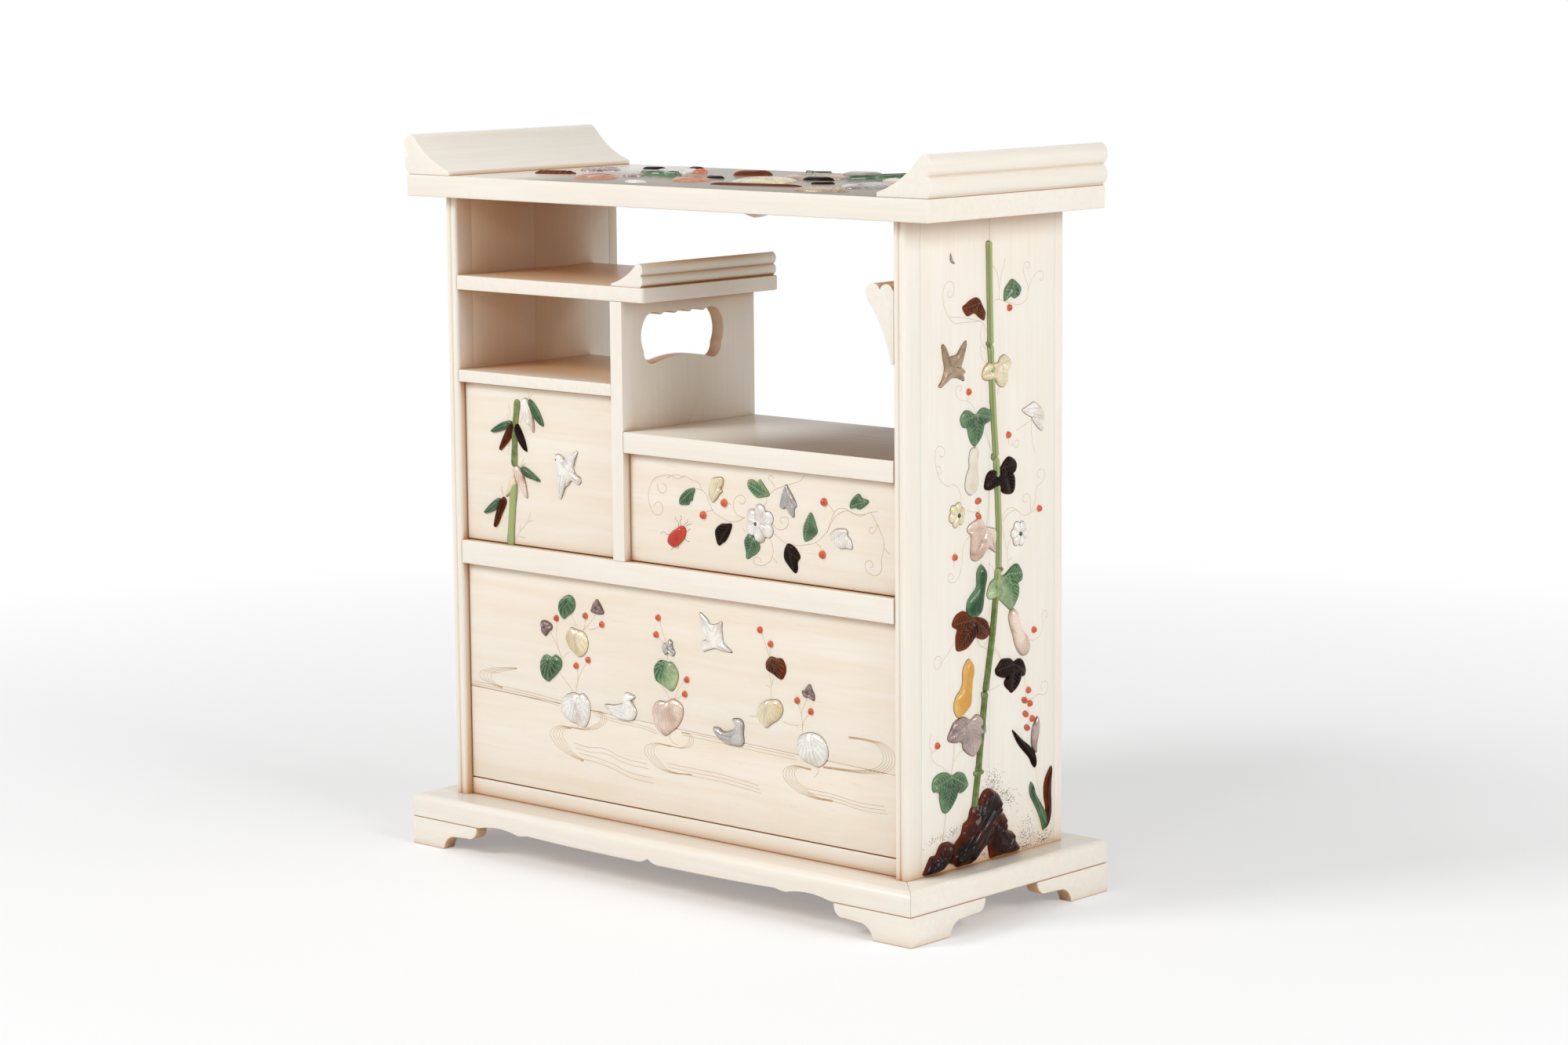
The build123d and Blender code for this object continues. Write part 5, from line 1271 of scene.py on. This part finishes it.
rightTendrils = [[(68, 31), (66.4, 29.2), (63.2, 28), (59.4, 26.8), (56.5, 25.6), (54.4, 24)],
                 [(53.6, 24), (53.4, 22), (52.6, 20.6)],
    [(45.2, 17), (42.6, 15.6), (39.6, 15.2), (36.2, 16), (33, 17.6), (31.6, 19.8), (30.6, 21.6), (28.8, 23.2),
     (26.6, 23.4)], [(33, 17.8), (30.4, 17.2)], [(36.4, 20.3), (38.8, 20.5), (40, 20)],
    [(28.8, 23), (27.4, 25.2), (24.6, 25.8), (21.6, 26.6), (19.7, 25.6), (16, 26.4), (13.3, 26), (10, 24.8),
     (8, 22), (7.6, 19), (8.4, 16.4), (10.2, 14.6), (12.2, 14.8), (13.2, 16.6), (12.2, 18.2), (10.4, 17.8),
     (9.6, 16.6)], [(22, 26), (19, 26.8), (15, 25.6)],
                 [(11, 23.2), (12.2, 21.2), (14.2, 21.4), (14.6, 23.2), (13.2, 23.8)],
                 [(45, 16.6), (41.8, 17.8), (40.8, 20.2), (42, 22.4), (44.4, 23), (45.4, 21.6), (44.2, 20.6),
                  (43, 21.2)],
                 [(55.6, 16), (57.4, 14.8), (59.6, 14.8), (61.4, 16), (61.6, 17.8), (60, 18.4), (58.6, 17.4),
                  (59.4, 16.6)], [(57, 26.4), (55.4, 28), (54.4, 28.8), (55.2, 29.6), (56.6, 28.8)],
    [(56, 13.4), (58.6, 12), (61.4, 10.9), (65, 10.8), (68.4, 11.4), (71.6, 12.2), (74, 13.8), (76.6, 16.6),
     (78.4, 19.4), (80.5, 21.2), (84, 22.2), (88, 21.2), (92, 22.6), (94.8, 23)],
                 [(76, 15.4), (77.8, 19.6), (79.4, 22), (82, 22.8), (86, 21.6), (90, 21.8)],
                 [(71.6, 12.2), (73.4, 11.4), (73.8, 10.4)], [(78.6, 21.4), (77, 23), (76.2, 23.6)],
    [(92, 22.6), (94, 20), (95.6, 17.4), (96.8, 14.4), (96.4, 12), (95.8, 9.6), (95.8, 7), (94, 5.4),
     (91.6, 5.6), (90, 7), (90.4, 8.8), (92.2, 9), (92.8, 7.8), (91.6, 7.4)],
                 [(94.4, 19.6), (93.6, 17.6), (92, 16.8), (91.6, 18.2), (92.8, 18.4)],
                 [(96.6, 13.4), (97.8, 12.4), (98.8, 11.6)],
    [(54.6, 11.8), (55.8, 9.4), (55.4, 6.4), (53.2, 4.4), (50.2, 3.8), (48.4, 4.6), (49, 5.8), (50.8, 5.8),
     (51.2, 4.8)], [(55.8, 6.4), (57.2, 5.2)], [(45.4, 12.8), (44.6, 13.6)]]
engrave("rightTendrils", "right", rightTendrils, 0.28)
beetleLegs = [[(16.2, 9.4), (14.6, 9.2), (13.6, 9.8), (12.2, 9.4)],
              [(19.4, 11.8), (19.2, 13.2), (18.2, 14), (18.4, 14.8)],
              [(20.4, 12), (20, 13.6), (20.6, 14.2), (20.2, 15.2)], [(21.6, 12.2), (22, 13), (22.8, 13.4),
     (23, 14.4)], [(22.2, 11), (23, 10.8), (23.6, 11.6), (24.2, 11.4)],
              [(21.4, 8.8), (22, 8.6), (22.6, 8), (23.8, 8)], [(19.2, 6.8), (19.4, 6), (18.8, 5.4)],
              [(17, 5.9), (16.8, 5.2), (16.2, 4.9)], [(22.4, 12.2), (23.2, 12.8), (24.6, 13.2)]]
engrave("beetleLegs", "right", beetleLegs, 0.22, "inkDots")

pondStems = [[(37.6, 51.8), (37.5, 47), (38.4, 43.4), (39.6, 41)],
             [(34.8, 48.4), (36.6, 46), (38.6, 42.8), (39.4, 41)], [(39.8, 41), (41.8, 42.8), (43.2, 43.4)],
             [(44, 54.6), (45.2, 52.4), (46.6, 50.6)], [(49.6, 53.8), (49.2, 51.4), (48.4, 50)],
             [(54.2, 56.2), (52, 53.4), (49.6, 51.2), (48.2, 50)], [(55.6, 52.4), (54, 51.6), (51.6, 51)],
             [(50.2, 41), (48.4, 39), (46.8, 36.4), (45.6, 33.4), (45.2, 31.2)],
    [(45.8, 38.6), (46.2, 36.6), (45.2, 31.4)], [(38.6, 36.6), (41, 34.4), (43.2, 32.4), (44.4, 31.2)],
             [(80, 56.6), (80.8, 53.8), (82.2, 51.2)], [(79.4, 52), (81, 50.6), (82, 50.2)],
             [(83, 47.4), (82.6, 45.2)], [(89.7, 40.4), (88, 38.6), (86.4, 36.4), (85.4, 34.4)],
             [(88.8, 36), (87, 35), (85.6, 34.4)], [(80.4, 38.2), (82, 36.2), (83.6, 34.4)],
             [(119.8, 57.6), (121.2, 54.4), (122.6, 51.2)], [(123, 53.8), (122.7, 51.4)],
    [(122.6, 46.4), (123.2, 43.6), (123, 39)], [(121.4, 42.8), (123, 42.4)], [(124, 45), (123.4, 42.8)],
    [(133.2, 39), (134.2, 37), (134.8, 34.4), (134.8, 31)], [(137.6, 36.8), (135.8, 34.8), (134.9, 32.4)],
             [(136.8, 41.2), (135.6, 38.8), (134.4, 36.4)], [(127, 33.4), (130, 32.8), (133.6, 32.8)],
             [(117.6, 33.4), (115, 33.2)], [(46.6, 22), (45, 20.4)], [(83, 23.6), (84.6, 21.6), (87, 21)],
             [(141, 22.2), (140.6, 20.4), (139, 18.8)]]
engrave("pondStems", "wide", pondStems, 0.24)

ripples = {
    "farLeft": {"count": 4, "gap": (1.7, 0.5), "line": [(20.4, 35.9), (14, 35.2), (7.2, 33.8), (4.2, 32),
                                                        (7.4, 30), (14, 28.9)]},
    "leftWave": {"count": 3, "gap": (0, 0.75), "line": [(0.4, 28.1), (12, 28), (24, 27.6), (38, 26.6)]},
    "underPearl": {
        "count": 5, "gap": (1.35, 0.55), "line": [(48, 11), (40.4, 12.8), (35.6, 15.4), (34.2, 18),
                                                  (36.8, 20.2), (43, 20.8)]},
    "pearlFoot": {
        "count": 4, "gap": (-0.9, 0.35), "line": [(43, 20.6), (50, 20.8), (55.6, 22.6), (57.8, 24.6),
                                                  (56.6, 26.6), (52, 26.9)]},
    "longWave1": {"count": 2, "gap": (0, -1.4), "line": [(44, 16.2), (50, 15.7), (56.6, 16.1), (64, 14.4),
                                                         (74, 13.9)]},
    "longWave2": {"count": 2, "gap": (0, -1.5), "line": [(46, 13.4), (54, 12.9), (60, 12), (67, 10.4),
                                                         (76, 10)]},
    "duckWave": {"count": 2, "gap": (0, -0.8), "line": [(52, 26.4), (62, 25.4), (72, 25), (78, 24.2)]},
    "underRose": {"count": 4, "gap": (1.3, 0.5), "line": [(92, 12.9), (80.4, 12.9), (75.6, 15), (73.2, 18),
                                                          (75.4, 20), (84, 20.6)]},
    "roseFoot": {"count": 3, "gap": (-0.9, 0.2), "line": [(84, 20.4), (89.4, 20.6), (92.6, 22.4),
                                                          (92.4, 24.4), (88, 25)]},
    "longWave3": {"count": 3, "gap": (0, -1.1), "line": [(82, 15.2), (92, 15), (104, 14.8), (118, 13.6)]},
    "greyWave": {"count": 2, "gap": (0, -0.9), "line": [(88, 25.2), (98, 25), (114, 24.4), (132, 23.8)]},
    "underRight": {
        "count": 5, "gap": (1.2, 0.5), "line": [(146, 12.8), (136.4, 13.2), (130, 15.4), (127.4, 18.4),
                                                (129.4, 20.6), (138, 21.2)]},
    "longWave4": {"count": 3, "gap": (0, -1.0), "line": [(136, 15.2), (146, 15), (156, 14), (165, 14.2)]},
    "farRight": {
        "count": 5, "gap": (-1.1, -0.5),
        "line": [(152, 32.2), (160, 32.2), (166.4, 31.2), (169, 28), (167, 24.6), (160, 22.8), (150, 22.2),
                 (142.6, 22)]}}
waterLines = []
for ripple in ripples.values():
    line, (aside, spacing) = np.array(ripple["line"], float), ripple["gap"]
    for number in range(ripple["count"]):
        if aside:  # a bend: the inner lines are pulled in at its middle and drawn closer together
            shift = np.column_stack([aside * np.sin(np.linspace(0, math.pi, len(line))),
                                     0.24 * abs(spacing) * np.sign(line[:, 1].mean() - line[:, 1])])
        else:  # a long wave: each line starts a little later and lies below the last
            shift = np.array([0.6, spacing])
        waterLines.append((line + shift * number).tolist())
engrave("waterLines", "wide", waterLines, 0.24)


# stippled ground: small ink dots

dots = {
    "radius": 0.15, "scatter": 0.62, "left": 6.8, "right": 64.2, "floor": 15.7,
    "patches": [((37.6, 37.6), (3.4, 3.4), -20, 150), ((43.2, 32.6), (4.4, 2.2), -34, 170),
                ((52.0, 20.0), (3.0, 3.8), -8, 210), ((59.6, 17.4), (4.6, 2.0), 0, 190),
                ((12.6, 25.2), (3.6, 0.9), 12, 50), ((19.6, 25.8), (2.8, 1.2), 20, 60),
                ((13, 16.4), (3.2, 0.7), 0, 30), ((33.4, 17.0), (1.6, 1.0), 0, 30), ((51, 16.4), (3.2, 0.7),
                                                                                     0, 60)]}
chance = np.random.default_rng(7)
deselectAll()
bpy.ops.mesh.primitive_circle_add(vertices=6, radius=1, fill_type="NGON")
dotMaster = bpy.context.object
bpy.ops.object.mode_set(mode="EDIT")
bpy.ops.mesh.select_all(action="SELECT")
bpy.ops.mesh.inset(thickness=0.4)
bpy.ops.transform.translate(value=(0, 0, 0.35))
bpy.ops.object.mode_set(mode="OBJECT")
dotShape = np.zeros(len(dotMaster.data.vertices) * 3)
dotMaster.data.vertices.foreach_get("co", dotShape)
dotShape = dotShape.reshape(-1, 3)
dotPieces = []
for centre, size, tilt, count in dots["patches"]:
    for place in turned(chance.normal(size=(count, 2)) * dots["scatter"] * np.array(size), centre, tilt):
        if not (dots["left"] < place[0] < dots["right"] and place[1] > dots["floor"]):
            continue
        dot = dotMaster.copy()
        dot.data = dotMaster.data.copy()
        bpy.context.scene.collection.objects.link(dot)
        radius = dots["radius"] * chance.uniform(0.45, 1.15)
        flat = dotShape * np.array([radius, radius * chance.uniform(0.6, 1.0), 0.12]) + np.array([*place,
                                                                                                  0.0])
        dot.data.vertices.foreach_set("co", onPanel("side", flat).ravel())
        dotPieces.append(dot)
bpy.data.objects.remove(dotMaster)
givePiece(joinPieces("groundDots", dotPieces), finishes["inkDots"], "cabinet")
for panelName, rims in seamLines.items():
    if rims:
        engrave(panelName + "Seams", panelName, rims, 0.46, "seamBrown", closed=True)
print("engraving and dots done:", len(dotPieces), "dots")


# shells on the top

def ovalOutline(centre, length, width, tilt, point):
    # an oval with one end more pointed
    rim = [(length / 2 * math.cos(t),
            width / 2 * math.sin(t) * (1 - point * math.cos(t))) for t in aroundCircle(16)]
    return turned(rim, centre, tilt)


def fanOutline(centre, size, tilt):
    # a wavy round edge above a straight hinge
    edge = []
    for angle in np.radians(np.linspace(-70, 250, 25)):
        reach = size / 2 * (1 + 0.035 * math.cos(19.8 * angle))
        edge.append((reach * math.cos(angle) * 1.08, reach * math.sin(angle)))
    hinge = [(-0.12 * size, -0.44 * size), (0.12 * size, -0.44 * size)]
    return turned([(x, y) for x, y in edge if y > -0.3 * size] + hinge, centre, tilt)


def fanRibs(centre, size, tilt):
    hinge = (0, -0.42 * size)
    return [turned([hinge, (0.572 * size * math.cos(angle), 0.02 * size + 0.42 * size * math.sin(angle))],
                   centre, tilt)
            for angle in np.radians(np.linspace(25, 155, 9))]


fans = {
    "fanOrange1": ("rustShell", (-40, -20), 12, 20), "fanOrange2": ("rustShell", (-9, -13), 11.5, -15),
    "fanOlive": ("yellowPearl", (12, -5), 19, -40), "fanTan": ("brownPearl", (13, 17), 17, 25),
    "fanGrey": ("greyPearl", (53, -7), 16, -70), "fanPale": ("whitePearl", (-41, 15), 13, 60),
    "fanRust": ("brownPearl", (70, 14), 13, 150), "fanViolet": ("violetPearl", (-66, 8), 11, -130)}
ovals = {
    "longBrown": ("redHorn", (-65, -12), 14, 3.6, 16, 2.2),
    "longFlat": ("redHorn", (23, -20), 31, 3.4, 10, 1.4),
    "dome1": ("redHorn", (-12, 17), 12, 8, 22, 3.0), "bean1": ("darkHorn", (21, 9), 11, 5, 2, 2.2),
    "dome2": ("violetPearl", (22, 27), 14, 9, 15, 3.4), "ovalTan": ("brownPearl", (55, -28), 17, 7, 10, 2.2),
    "ovalWhite": ("whitePearl", (-16, -28), 7.4, 4, 4, 1.2),
    "spiral": ("violetPearl", (-38, -6.5), 6.4, 5, 30, 2.0),
    "dark1": ("darkHorn", (-58, 23), 8, 4, 10, 1.6), "dark2": ("darkHorn", (-46, 29), 7, 4, -20, 1.8),
    "dark3": ("darkHorn", (-11, 0), 9, 3.4, -18, 1.6), "coralBead": ("coral", (-33.6, 17.6), 4.6, 4, 0, 2.2),
    "ovalRight": ("yellowPearl", (74, -16), 12, 6, 60, 1.8),
    "ovalBack": ("pinkPearl", (46, 14), 12, 7, -30, 2.0),
    "dome3": ("redHorn", (44, 28), 11, 6, -12, 2.4), "bean2": ("darkHorn", (34, -4), 7, 3, 30, 1.4),
    "bean3": ("amber", (-24, 27), 8, 4, 10, 1.6)}
shellPieces = []
for name, (finishName, centre, size, tilt) in fans.items():
    shellPieces.append(carve(name, "top", fanOutline(centre, size, tilt), [centre], finishName, height=1.3,
                             veins=fanRibs(centre, size, tilt), veinDepth=0.3, veinWidth=0.32, fullness=2.4,
                             segments=110, rings=14))
for name, (finishName, centre, length, width, tilt, height) in ovals.items():
    half = 0.32 * (length - width * 0.6)
    spine = turned([(-half, 0), (half, 0)], centre, tilt)
    cross = [turned([(share * half * 1.6, side * 0.42 * width) for side in (-1, 1)], centre, tilt)
             for share in np.linspace(-1, 1, 7)]
    shellPieces.append(carve(name, "top", ovalOutline(centre, length, width, tilt, 0.25), spine, finishName,
                             height=0.5 * height,
                             veins=cross if name in ("ovalTan", "longBrown", "ovalRight", "spiral") else [],
                             veinDepth=0.22, veinWidth=0.3, fullness=2.2, rings=12))
for line, width in (([(-43, 3), (-38, 0.6), (-33, 1.8), (-28, -2), (-22.6, -3.6)], 2.4), ([(-40, 6),
    (-35, 3.4), (-30, 4)], 1.8),
                    ([(26, 16), (29, 21), (28, 26), (31, 31), (32, 35)], 2.4), ([(33, 20), (35, 26), (39, 30),
                                                                                 (40, 35)], 2.2),
                    ([(60, 22), (66, 26), (72, 25), (78, 29)], 2.2), ([(-2, 30), (3, 27), (8, 29)], 1.8)):
    fine = divided(line, 16)
    fine[1:-1] = (fine[:-2] + 2 * fine[1:-1] + fine[2:]) / 4
    shellPieces.append(carve("weed", "top", strip(fine, width), fine[1:-1].tolist(), "greenStone", height=1.3,
                             segments=110, rings=7, fullness=2.4, veins=[fine.tolist()], veinDepth=0.2))
gather(shellPieces, "topShells", "top", "top_shells")
print("shells placed")


# studio

studio = {"floorSize": 5.0, "fadeStart": 0.2, "fadeEnd": 0.6, "lift": 0.3, "worldLight": 0.42}
deselectAll()
bpy.ops.mesh.primitive_plane_add(size=studio["floorSize"], location=(0, 0, 0))
floor = bpy.context.object
floor.name = "floor"
floorFinish = bpy.data.materials.new("paleFloor")
floorFinish.use_nodes = True
tree = floorFinish.node_tree
shader = tree.nodes["Principled BSDF"]
shader.inputs["Base Color"].default_value = (0.93, 0.93, 0.93, 1)
shader.inputs["Roughness"].default_value = 0.75
shader.inputs["Specular IOR Level"].default_value = 0.2
white = tree.nodes.new("ShaderNodeEmission")
white.inputs["Strength"].default_value = 1.0
ray = tree.nodes.new("ShaderNodeLightPath")
seen = mathNode(tree, "ADD", ray.outputs["Is Camera Ray"], ray.outputs["Is Glossy Ray"], True)
radial = tree.nodes.new("ShaderNodeVectorMath")
radial.operation = "LENGTH"
tree.links.new(objectVector(tree), radial.inputs[0])
far = tree.nodes.new("ShaderNodeMapRange")
far.inputs["From Min"].default_value = studio["fadeStart"]
far.inputs["From Max"].default_value = studio["fadeEnd"]
far.inputs["To Min"].default_value = studio["lift"]
tree.links.new(radial.outputs["Value"], far.inputs["Value"])
blend = tree.nodes.new("ShaderNodeMixShader")
tree.links.new(mathNode(tree, "MULTIPLY", far.outputs[0], seen), blend.inputs[0])
tree.links.new(shader.outputs[0], blend.inputs[1])
tree.links.new(white.outputs[0], blend.inputs[2])
tree.links.new(blend.outputs[0], tree.nodes["Material Output"].inputs["Surface"])
floor.data.materials.append(floorFinish)

world = bpy.data.worlds.new("studioWorld")
bpy.context.scene.world = world
world.use_nodes = True
tree = world.node_tree
background = tree.nodes["Background"]
ray = tree.nodes.new("ShaderNodeLightPath")
seen = mathNode(tree, "MAXIMUM", ray.outputs["Is Camera Ray"],
                mathNode(tree, "MAXIMUM", ray.outputs["Is Glossy Ray"], ray.outputs["Is Transmission Ray"]))
strength = mathNode(tree, "ADD", mathNode(tree,
                                          "MULTIPLY", seen, 1 - studio["worldLight"]), studio["worldLight"])
tree.links.new(strength, background.inputs["Strength"])
background.inputs["Color"].default_value = (1, 1, 1, 1)

lamps = {
    "key": {"place": (-0.55, -1.15, 1.05), "aim": (0, 0, 0.1), "size": 0.5, "power": 12.5},
    "side": {"place": (1.3, -0.1, 0.75), "aim": (0.05, 0, 0.1), "size": 0.5, "power": 7.6},
    "glint": {"place": (0.35, -1.0, 0.62), "aim": (0.02, 0, 0.1), "size": 0.12, "power": 1.0},
    "sideGlint": {"place": (1.05, 0.3, 0.42), "aim": (0.08, 0, 0.1), "size": 0.12, "power": 1.0},
}
for name, lamp in lamps.items():
    deselectAll()
    bpy.ops.object.light_add(type="AREA", location=lamp["place"])
    light = bpy.context.object
    light.name = name
    light.data.size = lamp["size"]
    light.data.energy = lamp["power"]
    light.rotation_euler = (Vector(lamp["aim"]) - Vector(lamp["place"])).to_track_quat("-Z", "Y").to_euler()

camera = {"place": (0.7754, -0.8361, 0.2695), "azimuth": 42.303, "elevation": 8.334, "roll": -0.451,
          "lens": 90.77}
deselectAll()
bpy.ops.object.camera_add(location=camera["place"])
eye = bpy.context.object
eye.data.lens = camera["lens"]
eye.data.sensor_width = 36
eye.data.clip_start = 0.01
azimuth, elevation, roll = (math.radians(camera[key]) for key in ("azimuth", "elevation", "roll"))
backward = Vector((math.sin(azimuth) * math.cos(elevation), -math.cos(azimuth) * math.cos(elevation),
                   math.sin(elevation)))
rightward = Vector((math.cos(azimuth), math.sin(azimuth), 0))
upward = backward.cross(rightward)
rightTurned = rightward * math.cos(roll) + upward * math.sin(roll)
upTurned = upward * math.cos(roll) - rightward * math.sin(roll)
eye.rotation_euler = Matrix((rightTurned, upTurned, backward)).transposed().to_euler()
bpy.context.scene.camera = eye
bpy.context.scene.view_settings.view_transform = "Standard"

print("scene ready")
